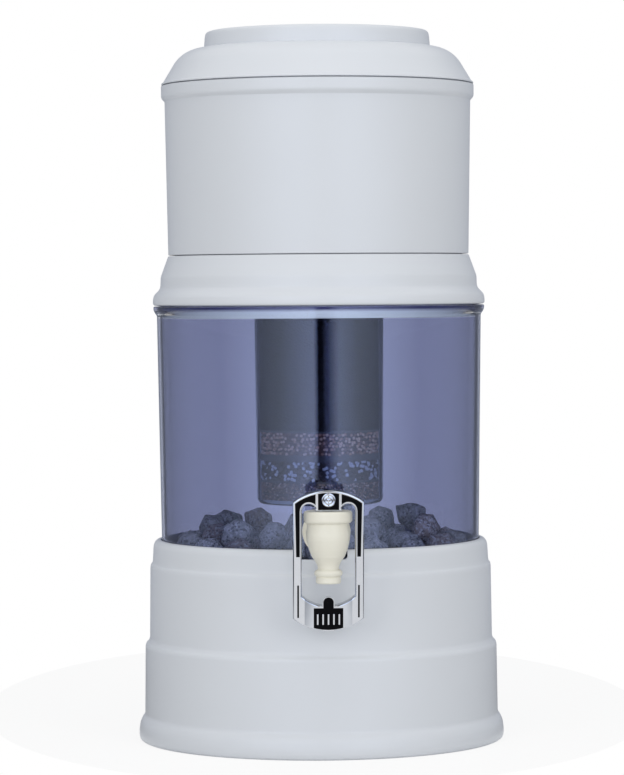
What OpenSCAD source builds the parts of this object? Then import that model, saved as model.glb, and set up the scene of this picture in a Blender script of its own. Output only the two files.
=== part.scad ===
// Gravity water filter with a lever tap.
// A stepped stand carries a clear lower tank. A collar closes that tank and carries the upper
// tank, whose floor clamps a ceramic dome above and a cartridge of filter media below.
// Millimetres. +Z is up, the origin is on the floor plane on the tanks' axis, the tap faces -Y.

/* [Stand] */
// Height of the deck that the lower tank stands on
deck_z = 115.5; // [100:0.5:140]
// Depth of the recess that holds the tank's foot
recess_depth = 17.7; // [14:0.1:20]
// Wall around the recess, which is the top tier
rim_wall = 5.1; // [4:0.1:7]
// Wall of the middle and bottom tiers
stand_wall = 3; // [2:0.1:3.6]
// Thickness of the deck
deck_t = 3; // [2:0.1:6]
// Radius gained by each tier from its top to its bottom
tier_draft = 0.6; // [0.2:0.1:2]
// Ledge between the top and middle tiers
upper_ledge = 1.6; // [1:0.1:4]
// Ledge between the middle and bottom tiers
lower_ledge = 3; // [2:0.1:6]
// Height of the bottom tier's top edge
lower_ledge_z = 66.5; // [50:0.5:85]
// Height of the foot bead
foot_h = 16.5; // [12:0.5:24]
// How far the foot bead stands proud of the bottom tier
foot_bead = 3.9; // [2:0.1:6]
// Ribs under the deck
rib_count = 8; // [4:1:16]
// Depth of those ribs
rib_depth = 10; // [4:1:20]

/* [Lower tank] */
// Outer radius at the floor
tank_r = 105.4; // [98:0.1:115]
// Radius gained from the floor to the rim
tank_draft = 2.5; // [1:0.1:4]
// Wall thickness
tank_wall = 3; // [2:0.1:4]
// Floor thickness
tank_floor = 3.5; // [2.5:0.1:6]
// How far the rim bead stands proud of the wall
rim_bead = 2.2; // [1:0.1:4]
// Gap between the tank's foot and the recess
seat_clear = 0.8; // [0.4:0.1:2]
// Size of a mineral stone
stone_d = 28; // [20:0.5:30]

/* [Tap] */
// Height of the tap hole above the tank's underside
tap_rise = 29.5; // [26:0.5:36]
// Distance from the tank's wall to the spout's axis
tap_reach = 35.2; // [33:0.1:42]
// Radius of the bonnet
bonnet_r = 15.25; // [14.8:0.05:16]
// Radius of the wall flange
flange_r = 15.3; // [14:0.1:17]
// Radius of the threaded shank
shank_r = 8; // [7:0.1:8.5]
// Radius of the valve chamber
chamber_r = 9.5; // [9:0.1:10.5]
// Radius of the bore in the spout
outlet_r = 4.8; // [3.5:0.1:5.2]
// Radius of the valve stem
stem_r = 3; // [2.5:0.1:3.4]
// Radial running gap of the stem in the bonnet
stem_clear = 0.08; // [0.04:0.01:0.1]

/* [Lever] */
// Width of the lever frame
lever_w = 44.6; // [43:0.1:48]
// Length of the lever frame along its slope
lever_l = 91.2; // [86:0.2:96]
// Thickness of the lever frame
lever_t = 5; // [4:0.1:6]
// Width of each rail
rail_w = 5.5; // [4.8:0.05:6]
// Width of the head block
head_w = 16; // [15:0.1:18]
// Forward lean of the lever frame
lever_lean = 11.25; // [9:0.25:12]
// Radius of the hinge pin that lifts the stem
pin_r = 1.5; // [1.2:0.1:1.8]
// Depth of the black inlays in the frame
inlay_t = 0.5; // [0.3:0.1:0.8]

/* [Collar] */
// Height of the collar above the lower tank's rim
collar_h = 33.3; // [28:0.1:40]
// How far its neck stands proud of the upper tank
collar_step = 5.4; // [4:0.1:8]
// Thickness of its top plate
collar_plate = 3; // [2:0.1:5]
// Depth of the skirt inside the lower tank
collar_skirt = 7.7; // [4:0.1:12]

/* [Upper tank] */
// How much slimmer its bottom is than the lower tank's top
upper_inset = 8; // [5:0.1:9]
// Radius gained from the bottom to the flange
upper_draft = 1.7; // [0.5:0.1:3]
// Height from the skirt to the flange's top
upper_h = 112; // [100:0.5:140]
// Wall thickness
upper_wall = 2.5; // [2:0.1:3.5]
// Floor thickness
upper_floor = 3; // [2.5:0.1:5]
// How far the flange stands proud of the wall
upper_flange = 2.3; // [1.5:0.1:4]

/* [Lid] */
// Height of the lid above the flange
lid_h = 35.9; // [30:0.1:45]
// Radius of the raised disc on top
lid_disc_r = 74.9; // [60:0.1:80]
// Height of the raised disc
lid_disc_h = 11; // [5:0.1:13]
// Wall thickness
lid_wall = 2.5; // [2:0.1:3.5]

/* [Filter] */
// Radius of the ceramic dome
dome_r = 45; // [38:0.5:55]
// Height of the dome's straight wall
dome_straight = 30; // [20:1:36]
// Wall of the ceramic dome
dome_wall = 8; // [5:0.5:12]
// Radius of the threaded stem through the floor
post_r = 9; // [7:0.1:11]
// Outer radius of the cartridge at its top
cartridge_r = 43.2; // [36:0.1:50]
// Radius lost from the cartridge's top to its bottom
cartridge_draft = 0.9; // [0.3:0.1:2]
// Wall of the cartridge
cartridge_wall = 2.5; // [1.5:0.1:4]
// Gap between the lower layer of stones and the cartridge
cartridge_clear = 12; // [2:0.1:30]
// Height of the carbon bed
carbon_h = 80; // [60:1:88]
// Height of the brown ball bed
brown_h = 14.7; // [10:0.1:20]
// Height of the white ball bed
white_h = 13; // [10:0.1:20]
// Height of the sand bed
sand_h = 11.5; // [8:0.1:16]
// Free height over the beds
head_space = 9; // [7:0.1:20]

/* [Hidden] */
$fn = 96;
eps = 0.01;

// Cartridge: what it holds, and the cap and nut over it
lip_t = 1.5;
grille_t = 2;
pad_t = 1.2;
mid_pad_t = 4;
cap_h = 23;
cap_skirt_h = 6;
cap_gap = 2.5;
dome_nut_t = 8.5;
floor_washer_t = 2;
ring_h = 4;

// Heights, stacked up from the tank's floor: a layer of stones, the cartridge, the upper tank
tank_floor_z = deck_z + tank_floor;
stone_flat = 0.9;
cartridge_z = tank_floor_z + stone_flat * stone_d + cartridge_clear;
cartridge_l = lip_t + grille_t + sand_h + white_h + brown_h + carbon_h + 3 * pad_t + mid_pad_t + head_space;
cartridge_top = cartridge_z + cartridge_l;
cap_z = cartridge_top - cap_skirt_h;
cap_top = cap_z + cap_h;
floor_under = cap_top + cap_gap + dome_nut_t + floor_washer_t;
upper_floor_z = floor_under + upper_floor;
collar_top = floor_under - ring_h;
rim_z = collar_top - collar_h;
tank_h = rim_z - deck_z;

// Stand: radii from the recess outwards, heights from the floor up
recess_r = tank_r + seat_clear;
stand_h = deck_z + recess_depth;
top_tier_r = recess_r + rim_wall;
middle_tier_r = top_tier_r + tier_draft + upper_ledge;
bottom_tier_r = middle_tier_r + tier_draft + lower_ledge;
foot_r = bottom_tier_r + tier_draft + foot_bead;
upper_ledge_z = deck_z + 3;
ledge_h = 4;
rim_round = 4;
rim_drop = 5.5;
notch_turn = -1;
deck_under = deck_z - deck_t;

// Lower tank
rim_wall_r = tank_r + tank_draft;
rim_r = rim_wall_r + rim_bead;
upper_r = rim_wall_r - upper_inset;
rim_h = 6.2;
tank_corner = 4;
tap_z = deck_z + tap_rise;
tap_wall_r = tank_at(tap_z);

// Tap: the spout's axis is vertical, and heights are counted from the inlet's axis
tap_y = -(tap_wall_r + tap_reach);
outer_washer_t = 2.4;
flange_back = -(tap_wall_r + outer_washer_t);
flange_t = 3;
bonnet_rise = 7.6;
bonnet_z = tap_z + bonnet_rise;
bonnet_h = 7.7;
bonnet_round = 1.8;
bonnet_top = bonnet_z + bonnet_h;
bonnet_roof = 2.5;
spigot_h = 4;
spigot_wall = 1.8;
spigot_gap = 0.2;
spigot_r = chamber_r - spigot_gap;
seat_drop = 12.5;
seat_z = tap_z - seat_drop;
belly_r = 13.8;
belly_drop = 0.5;
belly_z = tap_z - belly_drop;
shoulder_r = 12.8;
throat_r = 6.6;
throat_drop = 21.1;
throat_z = belly_z - throat_drop;
nozzle_r = 7.9;
nozzle_h = 4.3;
nozzle_ring_r = 2.3;
nozzle_ring_drop = 2.3;
nozzle_drop = 8.8;
nozzle_ring_z = throat_z - nozzle_ring_drop;
spout_end = throat_z - nozzle_drop;
inlet_r = 5;
shank_gap = 0.6;
washer_r = 14;
washer_gap = 0.05;
nut_across = 28;
inner_washer_t = 2.3;
inner_seat = -(tap_wall_r - tank_wall - inner_washer_t);
nut_t = 8;
thread_rest = 4.5;
shank_end = inner_seat + nut_t + thread_rest;

// Valve: the plug rests just above its seat, the spring bears on the collar over it
plug_r = 7.5;
plug_lift = 0.2;
plug_h = 6.8;
plug_top = seat_z + plug_lift + plug_h;
stem_collar_r = 6.8;
stem_collar_t = 1.8;
spring_turns = 6;
spring_r = 5.6;
wire_r = 0.5;
spring_low = plug_top + stem_collar_t;
spring_high = bonnet_top - bonnet_roof;

// Lever: the toe of the head rocks on the bonnet, the pin behind it lifts the stem's eye
hinge_y = tap_y - 9.5;
hinge_z = bonnet_top + 0.6;
toe_r = 0.5;
pin_z = bonnet_top + 4.8;
head_gap = 0.3;
lever_y = tap_y - 12.5;
lever_rise = 13.2;
eye_t = 5;
eye_gap = 0.4;
eye_wall = 1.4;
eye_play = 0.12;
eye_travel = 1.2;

// Lever outline, drawn flat with v = 0 at the crown and v falling towards the paddle
half_w = lever_w / 2;
half_open = half_w - rail_w;
half_head = head_w / 2;
crown_sag = 7.5;
heel_sag = 8;
paddle_sag = 7;
paddle_h = 15.7;
head_bottom = -(lever_rise - head_gap) / cos(lever_lean);
cutout_r = (half_open - half_head) / 2;
cutout_v = -8.4 - cutout_r;
panel_half = 9.3;
panel_high = 15;
tab_half = 3.3;
tab_high = 22;
tongue_t = 2;
tongue_border = 0.35;

// Collar
collar_neck_r = upper_r + collar_step;
collar_hole_r = cartridge_r + 2.8;
skirt_gap = 0.6;
collar_wall = 3;
ring_w = 2.5;
ring_r = upper_r - upper_wall - 1.9;

// Upper tank
seam = 0.6;
upper_z = collar_top + seam;
upper_top = upper_z + upper_h;
flange_h = 10.2;
flange_r2 = upper_r + upper_draft + upper_flange;
upper_mouth_r = upper_r + upper_draft - upper_wall;

// Lid
lid_top = upper_top + lid_h;
lid_lip_h = 1.8;
lid_skirt_h = 6;
lid_skirt_gap = 0.7;
lid_edge_round = 2.5;
lid_bend = 22.2;
lid_slope = 31;

// Filter stack through the upper tank's floor
gasket_t = 2.5;
gasket_r = 24;
foot_plate_h = 6;
foot_plate_lap = 1.5;
foot_z = upper_floor_z + gasket_t;
dome_z = foot_z + foot_plate_h;
post_gap = 0.5;
post_bore = 5;
floor_washer_r = 20;
dome_nut_across = 32;
cap_neck_h = 7;
cap_neck_r = 14;
cap_wall = 1.6;
post_end = cap_top - 13;

// Cartridge, filled from the bottom up
cartridge_corner = 4;
lip_w = 6;
bed_gap = 0.15;
grille_z = cartridge_z + lip_t;
sand_z = grille_z + grille_t;
low_pad_z = sand_z + sand_h;
white_z = low_pad_z + pad_t;
mid_pad_z = white_z + white_h;
brown_z = mid_pad_z + mid_pad_t;
high_pad_z = brown_z + brown_h;
carbon_z = high_pad_z + pad_t;
top_pad_z = carbon_z + carbon_h;

// Outer radius of the lower tank at a height
function tank_at(z) = tank_r + tank_draft * (z - deck_z) / tank_h;

// Points of an arc, from one angle to another
function arc(centre, r, from, to, steps = 8) = [
    for (i = [0:steps])
        let (a = from + (to - from) * i / steps)
            centre + r * [cos(a), sin(a)]
];

// Points of a quarter oval, from its side up to its top
function oval(centre, across, high, steps) = [
    for (i = [0:steps])
        let (a = 90 * i / steps)
            centre + [across * cos(a), high * sin(a)]
];

// Radius of an arc with a half chord and a sag
function sag_r(half_chord, sag) = (half_chord * half_chord + sag * sag) / (2 * sag);

// Inner radius of the cartridge at a height
function cartridge_in(z) =
    cartridge_r - cartridge_wall - cartridge_draft * (cartridge_top - z) / cartridge_l;

// The stand's outline: foot bead, three tiers with rounded ledges, rounded rim
module stand_shell() {
    bead_low = 6.7;
    bead_r = 3.6;
    color("whitesmoke")
    difference() {
        rotate_extrude()
            polygon(concat(
                [[0, 0]],
                [[foot_r - bead_r, 0]],
                arc([foot_r - bead_r, bead_r], bead_r, -60, 0, 4),
                [[foot_r, bead_low], [foot_r - 0.6, bead_low + 5], [foot_r - 1.9, bead_low + 8.5]],
                [[bottom_tier_r + tier_draft, foot_h]],
                [[bottom_tier_r, lower_ledge_z - ledge_h - 1]],
                arc([bottom_tier_r - 2, lower_ledge_z - ledge_h], 2, 0, 60, 4),
                [[middle_tier_r + tier_draft + 0.3, lower_ledge_z]],
                [[middle_tier_r + tier_draft, lower_ledge_z + 1.5]],
                [[middle_tier_r, upper_ledge_z - ledge_h]],
                arc([middle_tier_r - 1.4, upper_ledge_z - 3], 1.4, 0, 60, 4),
                [[top_tier_r + tier_draft + 0.2, upper_ledge_z]],
                [[top_tier_r + tier_draft, upper_ledge_z + 1]],
                oval([top_tier_r - rim_round, stand_h - rim_drop], rim_round, rim_drop, 6),
                [[0, stand_h]]
            ));
        translate([0, 0, deck_z])
            cylinder(h = recess_depth + 1, r = recess_r);
        stand_cavity();
        stand_notch();
    }
    color("whitesmoke")
    stand_ribs();
}

// The hollow under the deck, stepped as the tiers are
module stand_cavity() {
    translate([0, 0, -1])
        cylinder(h = lower_ledge_z - ledge_h - stand_wall + 1, r = bottom_tier_r - stand_wall);
    translate([0, 0, -1])
        cylinder(h = deck_under + 1, r = middle_tier_r - stand_wall);
}

module stand_ribs() {
    rib_t = 2.5;
    rib_from = 40;
    for (i = [0:rib_count - 1])
        rotate([0, 0, (i + 0.5) * 360 / rib_count])
            translate([rib_from, -rib_t / 2, deck_under - rib_depth])
                cube([middle_tier_r - stand_wall - rib_from + 0.5, rib_t, rib_depth + 0.5]);
}

// The notch in the rim that clears the tap's flange; the tank stands a little round from it
module stand_notch() {
    half = flange_r;
    low = tap_z - flange_r - 2.6;
    corner = 2;
    rotate([0, 0, notch_turn])
    translate([0, -recess_r + 3, 0])
    rotate([90, 0, 0])
        linear_extrude(rim_wall + 10)
            polygon(concat(
                arc([-half + corner, low + corner], corner, 180, 270, 4),
                arc([half - corner, low + corner], corner, 270, 360, 4),
                [[half, stand_h + 1], [-half, stand_h + 1]]
            ));
}

// The tank's outer surface, grown or shrunk, as a cutter for what lies against the wall
module tank_cone(grow) {
    translate([0, 0, deck_z])
        cylinder(h = tank_h, r1 = tank_r + grow, r2 = rim_wall_r + grow, $fn = 480);
}

module lower_tank() {
    inner_corner = 3;
    outer_z = deck_z + tank_corner;
    inner_z = tank_floor_z + inner_corner;
    outer_x = tank_at(outer_z) - tank_corner;
    inner_x = tank_at(inner_z) - tank_wall - inner_corner;
    color("slateblue", 0.4)
    difference() {
        rotate_extrude()
            polygon(concat(
                [[0, deck_z]],
                arc([outer_x, outer_z], tank_corner, -90, 0, 6),
                [[tank_at(rim_z - rim_h), rim_z - rim_h]],
                [[rim_r - 0.9, rim_z - rim_h + 1.8]],
                [[rim_r, rim_z - rim_h + 4]],
                arc([rim_r - 0.8, rim_z - 0.8], 0.8, 0, 90, 4),
                [[rim_wall_r - tank_wall, rim_z]],
                arc([inner_x, inner_z], inner_corner, 0, -90, 6),
                [[0, tank_floor_z]]
            ));
        tap_bore(shank_r + shank_gap, -tank_r - 6, -tank_r + 10);
    }
}

// A cylinder along the tap's inlet axis, from one y to another
module tap_bore(r, from, to, sides = $fn) {
    translate([0, to, tap_z])
        rotate([90, 0, 0])
            cylinder(h = to - from, r = r, $fn = sides);
}

// Corners of an icosahedron, its sides between neighbouring corners, and each edge once
stone_corners =
    let (g = (1 + sqrt(5)) / 2)
        [
            [0, 1, g], [0, -1, g], [0, 1, -g], [0, -1, -g],
            [1, g, 0], [-1, g, 0], [1, -g, 0], [-1, -g, 0],
            [g, 0, 1], [-g, 0, 1], [g, 0, -1], [-g, 0, -1]
        ];
stone_sides = [
    for (a = [0:9], b = [a + 1:10], c = [b + 1:11])
        let (p = stone_corners[a], q = stone_corners[b], r = stone_corners[c])
            if (max(norm(p - q), norm(q - r), norm(r - p)) < 2.1)
                cross(q - p, r - p) * p > 0 ? [a, c, b] : [a, b, c]
];
stone_edges = [
    for (f = stone_sides, k = [0:2])
        if (f[k] < f[(k + 1) % 3]) [f[k], f[(k + 1) % 3]]
];

// Where the stones lie: rings round the axis, and one upper ring over the outer two
stone_pitch = stone_d + 1.6;
stone_ring = tank_r - tank_wall - stone_d / 2 - 1.5;
stone_rings = floor((stone_ring - stone_pitch / 2) / stone_pitch) + 1;
stone_gap = 0.1;

function flat(p) = [p[0], p[1]];

function ring_places(r, turn) =
    let (count = floor(180 / asin(stone_pitch / 2 / r)))
        [for (i = [0:count - 1]) let (a = turn + i * 360 / count) r * [cos(a), sin(a)]];

// Clear of the tap's nut
function stone_fits(p) =
    !(abs(p[0]) < nut_across / 2 + stone_d / 2 + 3 && p[1] < shank_end + stone_d / 2 + 3);

// A stone's corners, pushed in and out, stretched and turned by a rule, round a place
function stone_shape(seed, p) =
    let (a = seed * 47, size = stone_d / 2 * (0.95 + 0.05 * sin(seed * 131)))
    let (slim = 0.88 + 0.12 * sin(seed * 83))
        [
            for (k = [0:11])
                let (c = stone_corners[k] / norm(stone_corners[k]))
                let (r = size * (0.9 + 0.1 * sin(seed * 59 + k * 77)))
                    [p[0] + r * (c[0] * cos(a) - slim * c[1] * sin(a)),
                     p[1] + r * (c[0] * sin(a) + slim * c[1] * cos(a)),
                     r * c[2] * stone_flat]
        ];

function shifted(points, z) = [for (p = points) p + [0, 0, z]];

// Height of a triangle's plane over a point, if the point lies over it
function over(q, a, b, c) =
    let (d = cross(flat(b - a), flat(c - a)))
    let (u = cross(flat(b - q), flat(c - q)) / d, v = cross(flat(c - q), flat(a - q)) / d)
        [if (u >= 0 && v >= 0 && u + v <= 1) u * a[2] + v * b[2] + (1 - u - v) * c[2]];

// Height of one edge over another where they cross, seen from above
function crossing(a, b, c, d) =
    let (r = flat(b - a), s = flat(d - c), k = cross(r, s), w = flat(c - a))
    let (t = cross(w, s) / k, u = cross(w, r) / k)
        [if (t >= 0 && t <= 1 && u >= 0 && u <= 1)
            a[2] + t * (b[2] - a[2]) - c[2] - u * (d[2] - c[2])];

// How far each corner and edge lifts a stone that rests on a lower one
function lifts(low, high) = concat(
    [for (q = high, f = stone_sides, z = over(q, low[f[0]], low[f[1]], low[f[2]])) z - q[2]],
    [for (q = low, f = stone_sides, z = over(q, high[f[0]], high[f[1]], high[f[2]])) q[2] - z],
    [for (e = stone_edges, f = stone_edges)
        each crossing(low[e[0]], low[e[1]], high[f[0]], high[f[1]])]
);

// A stone of the lower layer stands on the tank's floor
function floor_stone(seed, p) =
    let (points = stone_shape(seed, p))
        shifted(points, tank_floor_z - min([for (q = points) q[2]]));

// A stone of the upper ring lies on the first of the lower ones that it meets
function upper_stone(seed, p, under) =
    let (points = stone_shape(seed, p), rest = tank_floor_z - min([for (q = points) q[2]]))
        shifted(points, stone_gap + max(concat([rest], [for (low = under) each lifts(low, points)])));

module mineral_stones() {
    places = [
        for (k = [0:stone_rings - 1], p = ring_places(stone_ring - k * stone_pitch, 11 + 17 * k))
            if (stone_fits(p)) p
    ];
    lower = [for (i = [0:len(places) - 1]) floor_stone(i, places[i])];
    upper = ring_places(stone_ring - stone_pitch / 2, 4);
    color("dimgray") {
        for (points = lower)
            polyhedron(points = points, faces = stone_sides);
        for (i = [0:len(upper) - 1]) {
            under = [for (k = [0:len(places) - 1]) if (norm(places[k] - upper[i]) < stone_pitch) lower[k]];
            if (stone_fits(upper[i]) && len(under) > 1)
                polyhedron(points = upper_stone(i + len(places), upper[i], under), faces = stone_sides);
        }
    }
}

// Spout body: a vase-shaped chamber, a ringed spout, a barrel to the flange, a threaded shank
module tap_body() {
    barrel_gap = 0.3;
    barrel_r = bonnet_rise - barrel_gap;
    nozzle_edge = 0.7;
    // Shares of the way from throat to belly, upwards and outwards, and from belly to shoulder
    vase = [
        [0, 0], [0.11, 0.04], [0.23, 0.2], [0.38, 0.52], [0.59, 0.77], [0.74, 0.88], [0.88, 0.97], [1, 1]
    ];
    shoulder = [[0.33, 0.04], [0.61, 0.39], [1, 1]];
    function between(p, r1, z1, r2, z2) = [r1 + (r2 - r1) * p[1], z1 + (z2 - z1) * p[0]];
    color("cornsilk")
    difference() {
        union() {
            translate([0, tap_y, 0])
                rotate_extrude()
                    polygon(concat(
                        [[0, bonnet_z], [0, spout_end]],
                        [[nozzle_r - nozzle_edge, spout_end], [nozzle_r, spout_end + nozzle_edge]],
                        [[nozzle_r, spout_end + nozzle_h - nozzle_edge]],
                        arc([throat_r, nozzle_ring_z], nozzle_ring_r, -70, 70, 6),
                        [for (p = vase) between(p, throat_r, throat_z, belly_r, belly_z)],
                        [for (p = shoulder) between(p, belly_r, belly_z, shoulder_r, bonnet_z)]
                    ));
            tap_bore(barrel_r, tap_y, flange_back);
            tap_bore(flange_r, flange_back - flange_t, flange_back);
            tap_bore(shank_r, flange_back - 1, shank_end);
        }
        translate([0, tap_y, seat_z])
            cylinder(h = bonnet_z - seat_z + 1, r = chamber_r);
        translate([0, tap_y, spout_end - 1])
            cylinder(h = seat_z - spout_end + 2, r = outlet_r);
        tap_bore(inlet_r, tap_y, shank_end + 1);
    }
}

module tap_bonnet() {
    color("cornsilk")
    translate([0, tap_y, bonnet_z])
    difference() {
        rotate_extrude()
            polygon(concat(
                [[0, -spigot_h], [spigot_r, -spigot_h], [spigot_r, 0]],
                [[bonnet_r - 1.2, 0], [bonnet_r, 1.2]],
                oval([bonnet_r - bonnet_round, bonnet_h - bonnet_round], bonnet_round, bonnet_round, 5),
                [[0, bonnet_h]]
            ));
        translate([0, 0, -spigot_h - 1])
            cylinder(h = spigot_h + 1 + bonnet_h - bonnet_roof, r = spigot_r - spigot_wall);
        cylinder(h = bonnet_h + 1, r = stem_r + stem_clear);
    }
}

// Washers cut to the curve of the tank's wall
module tap_outer_washer() {
    color("dimgray")
    difference() {
        tap_bore(washer_r, flange_back, -tap_wall_r + 4);
        tap_bore(shank_r, flange_back - 1, -tap_wall_r + 5);
        tank_cone(washer_gap);
    }
}

module tap_inner_washer() {
    color("dimgray")
    difference() {
        intersection() {
            tap_bore(washer_r, -tap_wall_r, inner_seat);
            tank_cone(-tank_wall - washer_gap);
        }
        tap_bore(shank_r, -tap_wall_r - 1, inner_seat + 1);
    }
}

module tap_lock_nut() {
    color("cornsilk")
    difference() {
        tap_bore(nut_across / sqrt(3), inner_seat, inner_seat + nut_t, 6);
        tap_bore(shank_r, inner_seat - 1, inner_seat + nut_t + 1);
    }
}

// Stem with a collar for the spring and a slotted eye that lets the pin swing
module valve_stem() {
    eye_front = pin_r + eye_travel + eye_wall;
    eye_back = pin_r + eye_play + eye_wall;
    eye_half = pin_r + eye_play + eye_wall;
    slot_half = pin_r + eye_play;
    color("gainsboro")
    translate([0, tap_y, 0])
    difference() {
        union() {
            translate([0, 0, plug_top - 5])
                cylinder(h = pin_z - eye_half - plug_top + 6, r = stem_r);
            translate([0, 0, plug_top])
                cylinder(h = stem_collar_t, r = stem_collar_r);
            translate([-eye_t / 2, -eye_front, pin_z - eye_half])
                cube([eye_t, eye_front + eye_back, eye_half * 2]);
        }
        for (y = [-eye_travel, 0])
            translate([-eye_t, y, pin_z])
                rotate([0, 90, 0])
                    cylinder(h = eye_t * 2, r = slot_half);
        translate([-eye_t, -eye_travel, pin_z - slot_half])
            cube([eye_t * 2, eye_travel, slot_half * 2]);
    }
}

module valve_plug() {
    color("darkslategray")
    translate([0, tap_y, plug_top - plug_h])
    difference() {
        union() {
            cylinder(h = 2, r1 = plug_r - 1.5, r2 = plug_r);
            translate([0, 0, 2])
                cylinder(h = plug_h - 2, r = plug_r);
        }
        translate([0, 0, plug_h - 5])
            cylinder(h = 6, r = stem_r);
    }
}

// Spring: a six-sided wire swept along a helix
module valve_spring() {
    sides = 6;
    per_turn = 16;
    rings = spring_turns * per_turn;
    low = spring_low + wire_r * 1.3;
    rise = spring_high - wire_r * 1.3 - low;
    path = [
        for (i = [0:rings])
            let (a = i * 360 / per_turn)
                [spring_r * cos(a), spring_r * sin(a), low + rise * i / rings]
    ];
    points = [
        for (i = [0:rings], k = [0:sides - 1])
            let (a = i * 360 / per_turn, b = k * 360 / sides)
                path[i] + wire_r * [cos(b) * cos(a), cos(b) * sin(a), sin(b)]
    ];
    skin = [
        for (i = [0:rings - 1], k = [0:sides - 1])
            let (n = (k + 1) % sides, p = i * sides, q = p + sides)
                each [[p + k, q + k, q + n], [p + k, q + n, p + n]]
    ];
    ends = [
        [for (k = [0:sides - 1]) k],
        [for (k = [sides - 1:-1:0]) rings * sides + k]
    ];
    echo(least_gap_between_turns = norm(path[per_turn] - path[0]) - 2 * wire_r);
    color("silver")
    translate([0, tap_y, 0])
        polyhedron(points = points, faces = concat(skin, ends));
}

// Lever frame coordinates: x across, v along the slope, depth into the frame
module on_lever(depth, t) {
    translate([0, lever_y, bonnet_top + lever_rise])
        rotate([lever_lean, 0, 0])
            translate([0, depth + t, 0])
                rotate([90, 0, 0])
                    linear_extrude(t)
                        children();
}

function crown_arc(inset) =
    let (r = sag_r(half_w, crown_sag), x = half_w - inset, a = asin(x / (r - inset)))
        arc([0, -r], r - inset, 90 - a, 90 + a, 12);

function heel_arc(inset) =
    let (r = sag_r(half_w, heel_sag), x = half_w - inset, a = asin(x / (r - inset)))
        arc([0, r - lever_l], r - inset, 270 - a, 270 + a, 12);

function paddle_edge() =
    let (r = sag_r(half_open, paddle_sag), a = asin(half_open / r))
        arc([0, r - lever_l + paddle_h], r, 270 - a, 270 + a, 12);

// The window between rails, head and paddle, with a round cut-out on each side of the head
module lever_window() {
    b = asin((head_bottom - cutout_v) / cutout_r);
    centre = half_head + cutout_r;
    polygon(concat(
        paddle_edge(),
        arc([centre, cutout_v], cutout_r, 0, 180 - b, 8),
        arc([-centre, cutout_v], cutout_r, b, 180, 8)
    ));
}

module lever_frame() {
    head_top = bonnet_top + 12.3;
    slot_top = bonnet_top + 9.6;
    head_low = bonnet_top + head_gap;
    head_back = tap_y + 4.5;
    head_front = lever_y + 3.2;
    slot_front = tap_y - pin_r - eye_travel - eye_wall - 1.2;
    slot_half = max(eye_t / 2, stem_r) + eye_gap;
    color("silver")
    difference() {
        union() {
            on_lever(0, lever_t)
                difference() {
                    polygon(concat(crown_arc(0), heel_arc(0)));
                    lever_window();
                }
            translate([-half_head, 0, 0])
                rotate([90, 0, 90])
                    linear_extrude(head_w)
                        polygon([
                            [head_front + 1, head_low], [head_back, head_low],
                            [head_back, head_top - 3.5], [head_back - 3.5, head_top],
                            [head_front - 0.8, head_top]
                        ]);
            across(hinge_y, hinge_z, toe_r, head_w);
            on_lever(0, tongue_t)
                tab_shape(tongue_border);
        }
        translate([-slot_half, slot_front, head_low - 2])
            cube([slot_half * 2, head_back - slot_front + 1, slot_top - head_low + 2]);
        across(tap_y, pin_z, pin_r, head_w + 2);
        on_lever(-1, inlay_t + 1)
            inlay_shapes();
        on_lever(-1, inlay_t + 1)
            panel_shape();
    }
}

// A cylinder along X through a point in the YZ plane
module across(y, z, r, length) {
    translate([-length / 2, y, z])
        rotate([0, 90, 0])
            cylinder(h = length, r = r);
}

// Inlays: one along each shoulder and rail, one in the head, two low grooves
module inlay_shapes() {
    border = 1.3;
    rail_border = 2;
    head_border = 1.4;
    strip_end = -42.8;
    strip_w = 2.3;
    strip_out = half_w - rail_border;
    strip_in = strip_out - strip_w;
    groove_from = -61.2;
    groove_to = -82.4;
    groove_x = half_w - 3.2;
    groove_w = 1.1;
    reach = min(cutout_r + 1.1, strip_in - half_head - cutout_r);
    for (side = [-1, 1])
        scale([side, 1])
            difference() {
                intersection() {
                    polygon(concat(crown_arc(border), [[-strip_out, strip_end], [strip_out, strip_end]]));
                    translate([half_head + 0.1, strip_end])
                        square([half_w, -strip_end]);
                }
                translate([half_head - 5, strip_end - 1])
                    square([strip_in - half_head + 5, cutout_v - strip_end + 1]);
                translate([half_head + cutout_r, cutout_v])
                    circle(r = reach);
            }
    intersection() {
        polygon(concat(crown_arc(border), [[-half_w, -20], [half_w, -20]]));
        translate([-half_head + head_border, head_bottom + 0.8])
            square([head_w - 2 * head_border, 20]);
    }
    for (side = [-1, 1])
        translate([side * groove_x - groove_w / 2, groove_to])
            square([groove_w, groove_from - groove_to]);
}

module lever_inlays() {
    color("black")
    on_lever(0, inlay_t)
        inlay_shapes();
}

module lever_disc() {
    disc_r = 4.5;
    disc_t = 0.9;
    disc_v = -5.9;
    color("silver")
    on_lever(-disc_t, disc_t)
        translate([0, disc_v])
            circle(r = disc_r);
}

// Panel in the paddle, and the round tab over it, grown for the tongue that backs it
module panel_shape() {
    low = 0.7;
    intersection() {
        polygon(concat(
            heel_arc(low),
            [[half_w, -lever_l + panel_high], [-half_w, -lever_l + panel_high]]
        ));
        translate([-panel_half, -lever_l])
            square([panel_half * 2, panel_high]);
    }
    tab_shape(0);
}

module tab_shape(grow) {
    r = tab_half + grow;
    low = -lever_l + panel_high - 1;
    centre = -lever_l + tab_high - tab_half;
    translate([-r, low])
        square([r * 2, centre - low]);
    translate([0, centre])
        circle(r = r);
}

module paddle_panel() {
    color("black")
    on_lever(0, inlay_t)
        panel_shape();
}

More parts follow.
